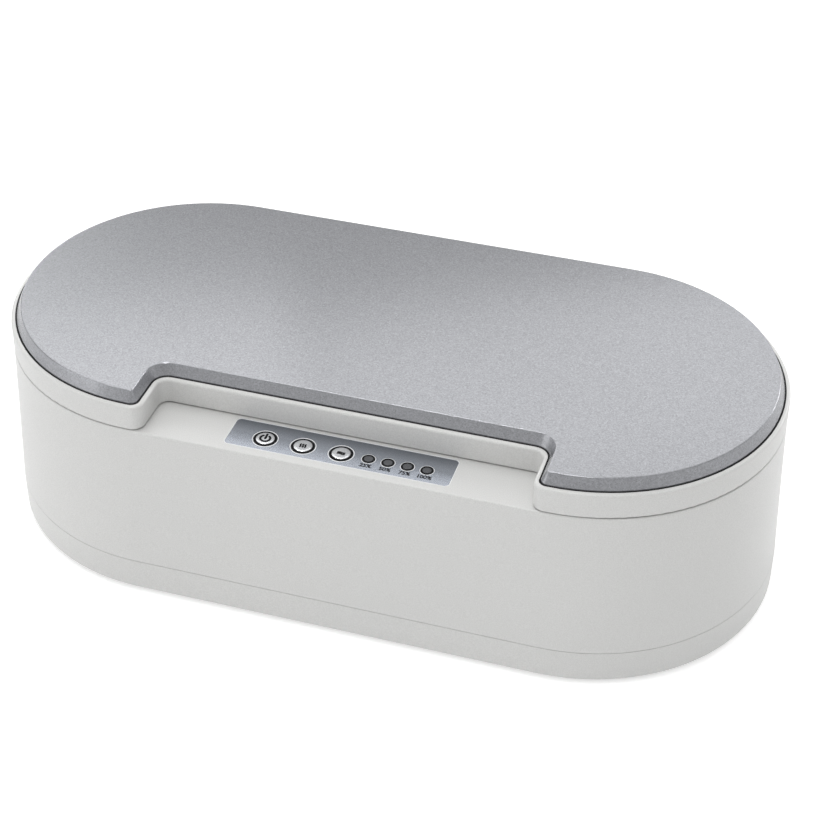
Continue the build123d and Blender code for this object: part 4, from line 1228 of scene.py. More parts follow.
@dataclass
class KeyFace:
    """What is printed and pressed on the top of one key, and the pale ring of painted highlight round its
    hole.

    Attributes:
        node: The key's node and body.
        mark: Its mark.
        reach: The key's own radius.
        collar: The pale collar round its hole, a painted highlight.
        ring_inner: Inner radius of the black ring.
        crown: Radius of the key's rounded edge, which the ring follows.
        skirt: How far the ring runs down the key's side.
        cap_height: How far the cap stands over the ring.
        cap_slope: Width of the cap's rounded edge.
        dish_depth: How deep the finger dish in the cap is.
        dish_steps: Rings of points in the dish.
        hub: Radius of the innermost ring.
        power_line: Width of the power mark's lines.
        power_radius: Radius of the power mark's arc.
        power_gap: The opening of the power mark's arc, in degrees.
        power_bar: How far the power mark's bar reaches from the key's middle.
        wave_size: Width and height of three waves.
        wave_fill: Width of a wave, as a share of the room that it has.
        upright_swing: How far an upright wave swings to each side.
        level_swing: How far a level wave swings to each side.
        film: Thickness of the print.
    """

    node: str
    mark: KeyMark
    reach: float = 3.2
    collar: HighlightCollar = HighlightCollar(3.42, 3.72)
    ring_inner: float = 2.6
    crown: float = 0.25
    skirt: float = 0.15
    cap_height: float = 0.08
    cap_slope: float = 0.75
    dish_depth: float = 0.04
    dish_steps: int = 8
    hub: float = 0.02
    power_line: float = 0.64
    power_radius: float = 1.38
    power_gap: float = 76.0
    power_bar: float = 1.85
    wave_size: Flat = (2.1, 1.2)
    wave_fill: float = 0.66
    upright_swing: float = 0.12
    level_swing: float = 0.1
    film: float = 0.02

    def __post_init__(self) -> None:
        """Measures the key."""
        block = block_of(self.node)
        self.top = block.high.z
        self.centre = (block.centre.x, block.centre.y)

    def build(self) -> None:
        """Builds the ring, the dished cap, the mark and the collar of painted highlight."""
        self.build_ring()
        self.build_cap()
        self.build_mark()
        stock = Stock()
        # Painted highlight: a pale collar round the key's hole.
        self.collar.add(stock, self.centre, block_of("panel_overlay").high.z)
        stock.piece(f"{self.node}_collar", "trim", "base")

    def build_ring(self) -> None:
        """Builds the black ring, a thin skin from the cap out over the key's rounded edge."""
        turns = [math.radians(a) for a in range(0, 91, 15)]
        flat_end, round_z = self.reach - self.crown, self.top - self.crown
        under, over = (
            [
                *((flat_end + r * math.sin(t), round_z + r * math.cos(t)) for t in turns),
                (flat_end + r, round_z - self.skirt),
            ]
            for r in (self.crown, self.crown + self.film)
        )
        profile = [(self.ring_inner, self.top), *under, *over[::-1], (self.ring_inner, self.top + self.film)]
        ring = Stock()
        ring.lathe(self.centre, profile, 64, hoop=True)
        ring.piece(f"{self.node}_ring", "ink", self.node)

    def build_cap(self) -> None:
        """Builds the cap: a rounded edge round a shallow dish."""
        foot = self.ring_inner - self.film
        brow = foot - self.cap_slope
        turns = [math.radians(a) for a in range(0, 91, 10)]
        profile = [(self.hub, self.top)]
        profile += [
            (brow + self.cap_slope * math.cos(t), self.top + self.cap_height * math.sin(t)) for t in turns
        ]
        shares = [i / self.dish_steps for i in range(self.dish_steps - 1, -1, -1)]
        floor = self.top + self.cap_height - self.dish_depth
        profile += [(max(brow * s, self.hub), floor + self.dish_depth * s * s) for s in shares]
        cap = Stock()
        cap.lathe(self.centre, profile, 64)
        cap.piece(f"{self.node}_cap", "key_plastic", self.node, sharp=60.0)

    def build_mark(self) -> None:
        """Builds the printed mark, which stands a little proud of the dish."""
        room = {KeyMark.UPRIGHT_WAVES: self.wave_size[0] / 3, KeyMark.LEVEL_WAVES: self.wave_size[1] / 3}
        width = self.power_line if self.mark is KeyMark.POWER else self.wave_fill * room[self.mark]
        cap_top = self.top + self.cap_height
        mark = Stock()
        for line in self.lines():
            mark.stroke(line, width, cap_top - 2 * self.dish_depth, cap_top + self.film)
        mark.piece(f"{self.node}_mark", "ink", self.node)

    def lines(self) -> list[list[Flat]]:
        """Draws the mark.

        Returns:
            The lines that it is made of.
        """
        x, y = self.centre
        if self.mark is KeyMark.POWER:
            start, end = 90 + self.power_gap / 2, 450 - self.power_gap / 2
            return [arc((x, y), self.power_radius, start, end, 32), [(x, y), (x, y + self.power_bar)]]
        width, height = self.wave_size
        if self.mark is KeyMark.UPRIGHT_WAVES:
            return [wave((x + step * width / 3, y), height, self.upright_swing, True) for step in (-1, 0, 1)]
        return [wave((x, y + step * height / 3), width, self.level_swing, False) for step in (-1, 0, 1)]


@dataclass
class LightRow:
    """The charge lights: a ring and a number at each window.

    Attributes:
        windows: X of each window's middle.
        row: Y of the row.
        ring_outer: Outer radius of the printed ring.
        ring_inner: Inner radius of the printed ring.
        collar_outer: Outer radius of the pale collar round the ring, a painted highlight.
        film: Thickness of the print.
        text_size: Size of the numbers.
        text_drop: How far under a window's middle its number stands.
        text_weight: How much the numbers are thickened.
        spacing: How close the figures stand.
    """

    windows: tuple[float, ...] = (8.2, 13.75, 19.3, 24.85)
    row: float = -46.9
    ring_outer: float = 1.82
    ring_inner: float = 1.24
    collar_outer: float = 2.08
    film: float = 0.02
    text_size: float = 2.0
    text_drop: float = 3.02
    text_weight: float = 0.06
    spacing: float = 0.98

    def build(self) -> None:
        """Builds the rings, their collars of painted highlight and the numbers."""
        top = block_of("light_guides").high.z
        film_top = block_of("panel_overlay").high.z
        rings, collars = Stock(), Stock()
        outer, inner = self.ring_outer, self.ring_inner
        profile = [(inner, top), (outer, top), (outer, top + self.film), (inner, top + self.film)]
        collar = HighlightCollar(outer + self.film, self.collar_outer)
        for count, x in enumerate(self.windows, start=1):
            rings.lathe((x, self.row), profile, hoop=True)
            # Painted highlight: a pale collar round each ring.
            collar.add(collars, (x, self.row), film_top)
            share = round(100 * count / len(self.windows))
            self.build_number(f"{share}%", (x, self.row - self.text_drop, film_top))
        rings.piece("light_rings", "ink", "base")
        collars.piece("light_highlight_collars", "trim", "base")

    def build_number(self, text: str, at: Point) -> None:
        """Builds one printed number.

        Args:
            text: The number.
            at: Where its middle stands on the film.
        """
        curve = bpy.data.curves.new("number", "FONT")
        curve.body = text
        curve.size = self.text_size * MM
        curve.extrude = self.film / 2 * MM
        curve.offset = self.text_weight * MM
        curve.space_character = self.spacing
        curve.align_x = curve.align_y = "CENTER"
        source = bpy.data.objects.new("number", curve)
        mesh = bpy.data.meshes.new_from_object(source)
        bpy.data.objects.remove(source)
        bpy.data.curves.remove(curve)
        mesh.transform(Matrix.Translation(Vector((at[0], at[1], at[2] + self.film / 2)) * MM))
        set_up(f"number_{text.rstrip('%')}", mesh, "ink", "base")


@dataclass
class FilmEdgeHighlight:
    """A pale bead in the joint between the control panel's film and the shelf, standing in for the bright
    edge round the film: a painted highlight.

    Attributes:
        corner: Radius of the film's corners.
        shelf: How far the shelf stands over the film.
        overlap: How far the bead lies on the film.
        joint: How wide the joint is.
        reach: How far the bead reaches from the film's edge.
        rear_share: How wide it is at the rear, as a share of its width: narrower where the notch wall's
            shadow falls, which is painted shade.
        rise: How far it stands over the film and the shelf.
    """

    corner: float = 1.3
    shelf: float = 0.15
    overlap: float = 0.02
    joint: float = 0.14
    reach: float = 0.22
    rear_share: float = 0.4
    rise: float = 0.02

    def outline(self, growth: float) -> list[Flat]:
        """The film's outline, grown outwards.

        Args:
            growth: How far it is grown.

        Returns:
            The points of one round.
        """
        block = block_of("panel_overlay")
        x, y = block.centre.x, block.centre.y
        half_x, half_y = block.half.x - self.corner, block.half.y - self.corner
        points: list[Flat] = []
        for turn, (sx, sy) in enumerate(((1, 1), (-1, 1), (-1, -1), (1, -1))):
            centre = (x + sx * half_x, y + sy * half_y)
            points += arc(centre, self.corner + growth, 90 * turn, 90 * turn + 90, 8)
        saved = growth * (1.0 - self.rear_share) / block.half.y
        return [(px, py - max(0.0, py - y) * saved) for px, py in points]

    def build(self) -> None:
        """Builds the bead of painted highlight."""
        film = block_of("panel_overlay").high.z
        shelf = film + self.shelf
        section = [
            (-self.overlap, film - self.rise),
            (-self.overlap, film + self.rise),
            (self.joint / 2, shelf + self.rise),
            (self.reach, shelf + self.rise),
            (self.reach, shelf - self.rise),
            (self.joint, film - self.rise),
        ]
        # Painted highlight: a pale bead round the film, narrowed at the rear for the wall's shadow (painted
        # shade).
        border = Stock()
        border.skin([[(*p, z) for p in self.outline(growth)] for growth, z in section], loop=True)
        border.piece("film_edge_highlight", "trim", "base")


# ---- Fasteners ----
SCREWS = {"base_screws": "base", "board_screws": "base", "lid_screws": "lid", "lid_board_screws": "lid"}


@dataclass
class ScrewSet:
    """The screws of one node, with a cross recess and a thread.

    Attributes:
        node: The screws' node.
        body: The body that they sit on.
        pitch: The thread's pitch.
        thread: The thread's depth.
        cone: Length of the tip's cone, in pitches.
        blunt: Radius of the tip, as a share of the shank's.
        least: The least radius of the thread's root.
        head: The head's profile, as shares of its radius and height.
        arm: Reach of the recess's arms, as a share of the head's radius.
        slot: Half the width of an arm, as a share of the head's radius.
        narrowing: Size of the recess's floor, as a share of its mouth.
        floor: Height of the recess's floor, as a share of the head's height.
        steps: Points around a screw.
        rows: Rings of points in one turn of the thread.
    """

    node: str
    body: str
    pitch: float = 0.8
    thread: float = 0.16
    cone: float = 1.6
    blunt: float = 0.25
    least: float = 0.05
    head: tuple[Flat, ...] = ((1.0, 0.0), (1.0, 0.45), (0.93, 0.78), (0.78, 1.0))
    arm: float = 0.58
    slot: float = 0.14
    narrowing: float = 0.55
    floor: float = 0.35
    steps: int = 24
    rows: int = 6

    def build(self) -> None:
        """Builds all the node's screws as one piece that stands for it."""
        stock = Stock()
        for points in solids_of(self.node):
            self.build_screw(stock, points)
        piece = stock.piece(self.node + "_threaded", "screw_steel", self.body, sharp=40.0)
        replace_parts(piece, self.node)

    def build_screw(self, stock: Stock, points: list[Vector]) -> None:
        """Adds one screw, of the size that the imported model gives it.

        Args:
            stock: Where its faces go.
            points: The points of the plain screw.
        """
        block = Block.around(points)
        low, high = block.low.z, block.high.z
        middle = block.centre.xy
        reach = {
            z: max((p.xy - middle).length for p in points if abs(p.z - z) < TOLERANCE) for z in (low, high)
        }
        up = 1 if reach[high] > reach[low] else -1
        face, tip = (high, low) if up > 0 else (low, high)
        head, shank = reach[face], reach[tip]
        seat = min((p.z * up for p in points if (p.xy - middle).length > (head + shank) / 2)) * up
        self.add_shank(stock, middle, seat, tip, shank, up)
        self.add_head(stock, middle, seat, face, head, up)

    def add_shank(
        self, stock: Stock, middle: Vector, seat: float, tip: float, radius: float, up: int
    ) -> None:
        """Adds a threaded shank with a cone at its tip.

        Args:
            stock: Where its faces go.
            middle: The axis.
            seat: The height of the head's underside.
            tip: The height of the tip.
            radius: The thread's outer radius.
            up: 1 if the head is at the top, and -1 if not.
        """
        length = abs(seat - tip)
        rows = max(int(length / self.pitch * self.rows), 4)
        rings: list[Ring] = []
        for i in range(rows + 1):
            depth = length * i / rows
            z = seat - up * depth
            taper = min(1.0, (length - depth) / (self.cone * self.pitch) + self.blunt)
            ring: Ring = []
            for j in range(self.steps):
                turn = j / self.steps
                phase = (depth / self.pitch - up * turn) % 1.0
                cut = self.thread * abs(2 * phase - 1)
                reach = max((radius - cut) * taper, self.least)
                angle = 2 * math.pi * turn
                ring.append((middle.x + reach * math.cos(angle), middle.y + reach * math.sin(angle), z))
            rings.append(ring)
        stock.skin(rings)

    def add_head(
        self, stock: Stock, middle: Vector, seat: float, face: float, radius: float, up: int
    ) -> None:
        """Adds a pan head with a cross recess.

        Args:
            stock: Where its faces go.
            middle: The axis.
            seat: The height of its underside.
            face: The height of its top.
            radius: Its radius.
            up: 1 if the head is at the top, and -1 if not.
        """
        height = abs(face - seat)
        arm, half = radius * self.arm, radius * self.slot
        cross = [
            (half, half), (half, arm), (-half, arm), (-half, half), (-arm, half), (-arm, -half),
            (-half, -half), (-half, -arm), (half, -arm), (half, -half), (arm, -half), (arm, half),
        ]
        levels = [(circle(self.steps), radius * wide, height * tall) for wide, tall in self.head]
        levels += [(cross, 1.0, height), (cross, self.narrowing, height * self.floor)]
        work = bmesh.new()
        rings = [ring_of(shape, (0.0, 0.0), size, z) for shape, size, z in levels]
        *loops, mouth, floor = ([work.verts.new(point) for point in ring] for ring in rings)
        work.faces.new(loops[0][::-1])
        for a, b in [*zip(loops, loops[1:]), (mouth[::-1], floor[::-1])]:
            for j in range(len(a)):
                k = (j + 1) % len(a)
                work.faces.new((a[j], a[k], b[k], b[j]))
        work.faces.new(floor)
        edges = [
            work.edges.get(ends) for loop in (loops[-1], mouth) for ends in zip(loop, loop[1:] + loop[:1])
        ]
        bmesh.ops.triangle_fill(work, edges=edges, use_beauty=True, use_dissolve=False)
        work.verts.index_update()
        start = len(stock.points)
        stock.faces.extend(tuple(start + v.index for v in f.verts) for f in work.faces)
        for vert in work.verts:
            x, y, z = vert.co
            stock.points.append((middle.x + x, middle.y + y * up, seat + z * up))
        work.free()


# ---- Ultraviolet lamps ----
@dataclass
class LampSet:
    """The ultraviolet lamps of one board: a ceramic cup, a chip and a silica dome.

    Attributes:
        node: The lamps' node.
        body: The body that they sit on.
        wall: Thickness of the cup's wall.
        edge: How far the cup's edges are rounded.
        well: Depth of the cup.
        well_floor: Radius of the well's floor, as a share of its mouth's.
        chip: Size of the chip.
        chip_height: Height of the chip.
        dome: How far the dome stands over the cup.
        seat: How far the dome reaches into the cup.
        gap: The gap round and over the dome, and under the chip.
        hub: Radius of the dome's innermost ring.
        curve: Angles of the points on the dome's curve, in radians.
        steps: Points around a lamp.
    """

    node: str
    body: str
    wall: float = 0.45
    edge: float = 0.06
    well: float = 0.45
    well_floor: float = 0.86
    chip: float = 1.1
    chip_height: float = 0.2
    dome: float = 0.3
    seat: float = 0.08
    gap: float = 0.02
    hub: float = 0.03
    curve: tuple[float, ...] = (0.35, 0.7, 1.05, 1.35)
    steps: int = 32

    def build(self) -> None:
        """Builds the cups, chips and domes."""
        cups, chips, domes = Stock(), Stock(), Stock()
        for points in solids_of(self.node):
            block = Block.around(points)
            centre, half = (block.centre.x, block.centre.y), block.half.x
            top_reach = max(abs(p.x - centre[0]) for p in points if p.z > block.high.z - TOLERANCE)
            up = 1 if top_reach < half - TOLERANCE else -1
            foot, crown = (block.low.z, block.high.z) if up > 0 else (block.high.z, block.low.z)
            rim = crown - up * self.dome
            self.add_cup(cups, centre, half, foot, rim, up)
            base = rim - up * (self.well - self.gap)
            chips.slab(rectangle(centre, (self.chip / 2, self.chip / 2)), base, base + up * self.chip_height)
            inner, swell = half - self.wall, self.dome - self.gap
            profile = [(inner - self.gap, rim - up * self.seat), (inner - self.gap, rim)]
            profile += [(inner * math.cos(t), rim + up * swell * math.sin(t)) for t in self.curve]
            domes.lathe(centre, [*profile, (self.hub, rim + up * (self.dome - self.gap / 2))], self.steps)
        cup_piece = cups.piece(self.node + "_cups", "lamp_ceramic", self.body)
        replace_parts(cup_piece, self.node)
        chips.piece(self.node + "_chips", "chip", self.body)
        domes.piece(self.node + "_domes", "quartz", self.body)

    def add_cup(self, stock: Stock, centre: Flat, half: float, foot: float, rim: float, up: int) -> None:
        """Adds a square cup with a round well.

        Args:
            stock: Where its faces go.
            centre: Its middle.
            half: Half its width.
            foot: The height of its underside.
            rim: The height of its rim.
            up: 1 if it opens upwards, and -1 if not.
        """
        disc = circle(self.steps, turned=0.5)
        square = [(x / max(abs(x), abs(y)), y / max(abs(x), abs(y))) for x, y in disc]
        inner = half - self.wall
        levels = (
            (square, half - self.edge, foot),
            (square, half, foot + up * self.edge),
            (square, half, rim - up * self.edge),
            (square, half - self.edge, rim),
            (disc, inner, rim),
            (disc, inner * self.well_floor, rim - up * self.well),
        )
        stock.skin([ring_of(shape, centre, reach, height) for shape, reach, height in levels])


# ---- Strips that follow a notched outline ----
@dataclass(frozen=True)
class NotchedOutline:
    """A long outline with round ends and a notch in its front.

    Attributes:
        end_centre: X of the centre of each round end.
        end_radius: Radius of the round ends.
        wall_x: X of the notch's side walls.
        wall_y: Y of the notch's back wall.
        horn: Radius where a side wall meets the round end.
        corner: Radius where a side wall meets the back wall.
        straight_steps: Parts that half a straight side is cut into.
        corner_steps: Parts of a corner.
        horn_steps: Parts of a horn.
        end_steps: Parts of a round end.
    """

    end_centre: float
    end_radius: float
    wall_x: float
    wall_y: float
    horn: float
    corner: float
    straight_steps: int = 8
    corner_steps: int = 10
    horn_steps: int = 14
    end_steps: int = 60

    def path(self, growth: float) -> list[Flat]:
        """The outline, grown outwards.

        Args:
            growth: How far it is grown.

        Returns:
            The points of one round.
        """
        radius = self.end_radius + growth
        wall_x, wall_y = self.wall_x - growth, self.wall_y - growth
        horn, corner = self.horn + growth, self.corner - growth
        horn_x = wall_x + horn
        horn_y = -math.sqrt((radius - horn) ** 2 - (horn_x - self.end_centre) ** 2)
        meet = math.degrees(math.atan2(horn_y, horn_x - self.end_centre))
        parts = self.straight_steps
        half = [(i * wall_x / parts, wall_y) for i in range(parts - 1)]
        half += arc((wall_x - corner, wall_y - corner), corner, 90, 0, self.corner_steps)
        half += arc((horn_x, horn_y), horn, 180, 360 + meet, self.horn_steps)
        half += arc((self.end_centre, 0.0), radius, meet, 90, self.end_steps)[1:]
        half += [(self.end_centre * i / parts, radius) for i in range(parts - 1, 0, -1)]
        return half + [(0.0, radius)] + [(-x, y) for x, y in reversed(half[1:])]

    def strip(self, section: list[Flat]) -> Stock:
        """Runs a closed section once round the outline.

        Args:
            section: How far outside the outline each point of the section lies, and its height.

        Returns:
            The strip.
        """
        stock = Stock()
        rings = [[(x, y, z) for x, y in self.path(growth)] for growth, z in section]
        stock.skin(rings, ends=False, loop=True)
        return stock


CHAMBER = NotchedOutline(end_centre=60.0, end_radius=46.25, wall_x=61.7, wall_y=-33.2, horn=4.5, corner=5.6)
LID = NotchedOutline(end_centre=60.0, end_radius=55.0, wall_x=55.6, wall_y=-39.3, horn=3.5, corner=3.0)


@dataclass
class LightSeal:
    """The soft strip that closes the gap over the chamber's lip: a low dome on a flat back.

    Attributes:
        inner: How far the strip's inner edge lies outside the chamber.
        width: Width of the strip.
        dome: Its section, as shares of its width and height.
    """

    inner: float = -0.1
    width: float = 1.6
    dome: tuple[Flat, ...] = (
        (0.0, 0.0), (0.02, 0.45), (0.12, 0.78), (0.3, 0.95), (0.5, 1.0),
        (0.7, 0.95), (0.88, 0.78), (0.98, 0.45), (1.0, 0.0),
    )

    def build(self) -> None:
        """Builds the strip, in place of the plain one."""
        block = block_of("light_seal")
        height = block.high.z - block.low.z
        section = [
            (self.inner + share * self.width, block.high.z - drop * height) for share, drop in self.dome
        ]
        piece = CHAMBER.strip(section).piece("light_seal_strip", "seal_rubber", "lid", sharp=60.0)
        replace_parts(piece, "light_seal")


@dataclass
class CoverJointShadow:
    """A black bead in the joint between the lid's cover and its rim, standing in for the joint's shadow:
    painted shade.

    Attributes:
        outer: How far its outer face lies inside the lid's outline.
        inner: How far its inner face lies inside the lid's outline.
        seat: Height of the ledge under it, over the cover's lowest face.
        crown: How far its top edges are rounded.
    """

    outer: float = 1.21
    inner: float = 1.69
    seat: float = 0.02
    crown: float = 0.06

    def build(self) -> None:
        """Builds the bead of painted shade."""
        low = block_of("lid_cover").low.z + self.seat
        high = block_of("lid_frame").high.z
        section = [
            (-self.outer, low),
            (-self.outer, high - self.crown),
            (-self.outer - self.crown, high),
            (-self.inner + self.crown, high),
            (-self.inner, high - self.crown),
            (-self.inner, low),
        ]
        # Painted shade: a black strip fills the joint, which is dark only from its own shadow.
        LID.strip(section).piece("cover_joint_shadow", "bead", "lid", sharp=50.0)


# ---- Aroma pad and feet ----
@dataclass
class AromaPad:
    """The scented felt disc in its well.

    Attributes:
        base: Radius of its flat underside, as a share of its own.
        lower_edge: The lower edge's points: how far inside its rim and over its underside each lies.
        upper_edge: The upper edge's points: how far inside its rim and under its top each lies.
        top: Where its flat top starts, measured in the same way.
        rows: Rings of points across its top.
        hub: Radius of the innermost ring.
        fluff: How far its surface wanders.
        tufts: Tufts of fluff per millimetre.
        flat: How high its underside stays flat.
        side_start: Where its side starts, as a share of its radius.
        side_fluff: How far its side wanders, as a share of fluff.
    """

    base: float = 0.9
    lower_edge: tuple[Flat, ...] = ((0.25, 0.1), (0.1, 0.5))
    upper_edge: tuple[Flat, ...] = ((0.1, 1.0), (0.25, 0.5), (0.7, 0.2))
    top: Flat = (0.9, 0.15)
    rows: int = 16
    hub: float = 0.03
    fluff: float = 0.14
    tufts: float = 0.9
    flat: float = 0.05
    side_start: float = 0.8
    side_fluff: float = 0.5

    def build(self) -> None:
        """Builds the felt disc, in place of the plain one."""
        block = block_of("aroma_pad")
        centre, radius = block.centre, block.half.x
        low, high = block.low.z, block.high.z
        profile = [(radius * self.base, low)]
        profile += [(radius - inset, low + rise) for inset, rise in self.lower_edge]
        profile += [(radius - inset, high - drop) for inset, drop in self.upper_edge]
        inset, drop = self.top
        shares = [1 - i / self.rows for i in range(self.rows + 1)]
        profile += [((radius - inset) * share + self.hub, high - drop) for share in shares]
        stock = Stock()
        stock.lathe((centre.x, centre.y), profile, 72)
        moved: list[Point] = []
        for x, y, z in stock.points:
            lift = noise.noise(Vector((x, y, z)) * self.tufts) * self.fluff if z > low + self.flat else 0.0
            outward = Vector((x - centre.x, y - centre.y))
            push = lift * self.side_fluff if outward.length > self.side_start * radius else 0.0
            outward = outward.normalized() * push
            moved.append((x + outward.x, y + outward.y, min(z + lift, high)))
        stock.points = moved
        piece = stock.piece("aroma_felt", "felt", "base", sharp=80.0)
        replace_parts(piece, "aroma_pad")


@dataclass
class FootSet:
    """The rubber feet, each with a rounded rim and two grip grooves underneath.

    Attributes:
        rim: Radius of the rounded rim.
        rim_turns: Angles of the points on the rim, in radians.
        grooves: Middle radius of each groove.
        groove: Half width of a groove.
        groove_floor: Width of a groove's floor, as a share of its mouth.
        depth: Depth of a groove.
        hub: Radius of the innermost ring.
    """

    rim: float = 0.4
    rim_turns: tuple[float, ...] = (0.4, 0.8, 1.2, math.pi / 2)
    grooves: tuple[float, ...] = (4.3, 2.5)
    groove: float = 0.35
    groove_floor: float = 0.6
    depth: float = 0.3
    hub: float = 0.05

    def build(self) -> None:
        """Builds the feet, in place of the plain ones."""
        stock = Stock()
        floor = self.groove * self.groove_floor
        for points in solids_of("rubber_feet"):
            block = Block.around(points)
            radius, low, high = block.half.x, block.low.z, block.high.z
            profile = [(self.hub, high), (radius, high), (radius, low + self.rim)]
            profile += [
                (radius - self.rim * (1 - math.cos(t)), low + self.rim * (1 - math.sin(t)))
                for t in self.rim_turns
            ]
            for middle in self.grooves:
                profile += [
                    (middle + self.groove, low),
                    (middle + floor, low + self.depth),
                    (middle - floor, low + self.depth),
                    (middle - self.groove, low),
                ]
            stock.lathe((block.centre.x, block.centre.y), [*profile, (self.hub, low)])
        piece = stock.piece("grooved_feet", "foot_rubber", "base", sharp=40.0)
        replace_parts(piece, "rubber_feet")


# ---- Power inlet ----
@dataclass
class PowerInlet:
    """The charging receptacle: a rolled steel shell, a black tongue and its contacts.

    Attributes:
        shell: Thickness of the steel.
        outer_lip: Length and height of the rounding at the mouth's outer edge.
        inner_lip: Length and height of the rounding at the mouth's inner edge.
        floor: How far from the back the shell's hollow ends.
        tongue_root: How far from the back the tongue starts.
        tongue_reach: How far from the back the tongue ends, as a share of the shell's length.
        tongue_width: Width of the tongue.
        tongue_height: Height of the tongue.
        nose: Length and height of the tongue's slanted tip.
        contacts: Contacts on each side of the tongue.
        contact_share: Half the width of a contact, as a share of their pitch.
        contact_start: How far from the back a contact starts.
        contact_end: How far from the tongue's tip a contact ends.
        contact_rise: How far a contact stands up.
    """

    shell: float = 0.28
    outer_lip: Flat = (0.15, 0.08)
    inner_lip: Flat = (0.2, 0.06)
    floor: float = 1.2
    tongue_root: float = 1.1
    tongue_reach: float = 0.78
    tongue_width: float = 6.7
    tongue_height: float = 0.7
    nose: Flat = (0.3, 0.14)
    contacts: int = 12
    contact_share: float = 0.26
    contact_start: float = 2.2
    contact_end: float = 0.45
    contact_rise: float = 0.03

    def __post_init__(self) -> None:
        """Measures the inlet and places the tongue's tip."""
        self.block = block_of("power_inlet")
        self.mouth, self.back = self.block.high.y, self.block.low.y
        self.tip = self.back + self.tongue_reach * (self.mouth - self.back)

    def ring(self, y: float, inset: float) -> Ring:
        """A rounded slot around the inlet's axis.

        Args:
            y: Where it stands along the axis.
            inset: How far it lies inside the shell's outer face.

        Returns:
            The points of one round.
        """
        centre, half = self.block.centre, self.block.half
        radius = half.z - inset
        reach = half.x - inset - radius
        right = arc((reach, 0.0), radius, -90, 90, 12)
        left = arc((-reach, 0.0), radius, 90, 270, 12)
        return [(centre.x + x, y, centre.z + z) for x, z in right + left]

    def build(self) -> None:
        """Builds the shell, the tongue and the contacts."""
        self.build_shell()
        self.build_tongue()
        self.build_contacts()

    def build_shell(self) -> None:
        """Builds the rolled shell, in place of the plain receptacle."""
        sections = (
            (self.back, 0.0),
            (self.mouth - self.outer_lip[0], 0.0),
            (self.mouth, self.outer_lip[1]),
            (self.mouth, self.shell - self.inner_lip[1]),
            (self.mouth - self.inner_lip[0], self.shell),
            (self.back + self.floor, self.shell),
        )
        shell = Stock()
        shell.skin([self.ring(y, inset) for y, inset in sections])
        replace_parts(shell.piece("inlet_shell", "inlet_steel", "base"), "power_inlet")

    def build_tongue(self) -> None:
        """Builds the tongue, a bar with a slanted tip."""
        middle = (self.block.centre.x, self.block.centre.z)
        long, steep = self.nose
        rings: list[Ring] = []
        for y, trim in ((self.back + self.tongue_root, 0.0), (self.tip - long, 0.0), (self.tip, steep)):
            half = (self.tongue_width / 2 - trim, self.tongue_height / 2 - trim)
            rings.append([(x, y, z) for x, z in rectangle(middle, half)])
        tongue = Stock()
        tongue.skin(rings)
        tongue.piece("inlet_tongue", "chip_plastic", "base")

    def build_contacts(self) -> None:
        """Builds the rows of contacts on both sides of the tongue."""
        pitch = self.tongue_width / (self.contacts + 1)
        start, end = self.back + self.contact_start, self.tip - self.contact_end
        half = (pitch * self.contact_share, (end - start) / 2)
        contacts = Stock()
        for side in (-1, 1):
            surface = self.block.centre.z + side * self.tongue_height / 2
            for i in range(1, self.contacts + 1):
                middle = (self.block.centre.x - self.tongue_width / 2 + pitch * i, (start + end) / 2)
                contacts.slab(rectangle(middle, half), surface, surface + side * self.contact_rise)
        contacts.piece("inlet_contacts", "gold", "base")


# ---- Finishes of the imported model's own nodes ----
def dress_nodes() -> None:
    """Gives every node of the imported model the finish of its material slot."""
    for part in frame["record"]["subparts"]:
        shape = frame["nodes"][part["node"]]
        material = PALETTE.get(part["material_slot"])
        if not shape.material_slots:
            shape.data.materials.append(material)
        for slot in shape.material_slots:
            slot.material = material
        log.info("%s: %s", part["node"], material.name)


# ---- Studio ----
@dataclass
class SoftBox:
    """One soft light.

    Attributes:
        name: Its name.
        place: Where it stands, in metres.
        size: Its width and height, in metres.
        power: Its power, in watts.
        aim: What it faces, in metres.
        roll: Its turn about its own axis, in degrees.
    """

    name: str
    place: Point
    size: Flat
    power: float
    aim: Point = (0.0, 0.0, 0.03)
    roll: float = 0.0

    def build(self) -> None:
        """Hangs the light, turned to what it faces."""
        light = bpy.data.lights.new(self.name, "AREA")
        light.shape = "RECTANGLE"
        light.size, light.size_y = self.size
        light.energy = self.power
        lamp = bpy.data.objects.new(self.name, light)
        lamp.location = self.place
        turned = (Vector(self.aim) - Vector(self.place)).to_track_quat("-Z", "Y").to_matrix()
        lamp.rotation_euler = (turned @ Matrix.Rotation(math.radians(self.roll), 3, "Z")).to_euler()
        lamp.visible_camera = False
        bpy.context.scene.collection.objects.link(lamp)


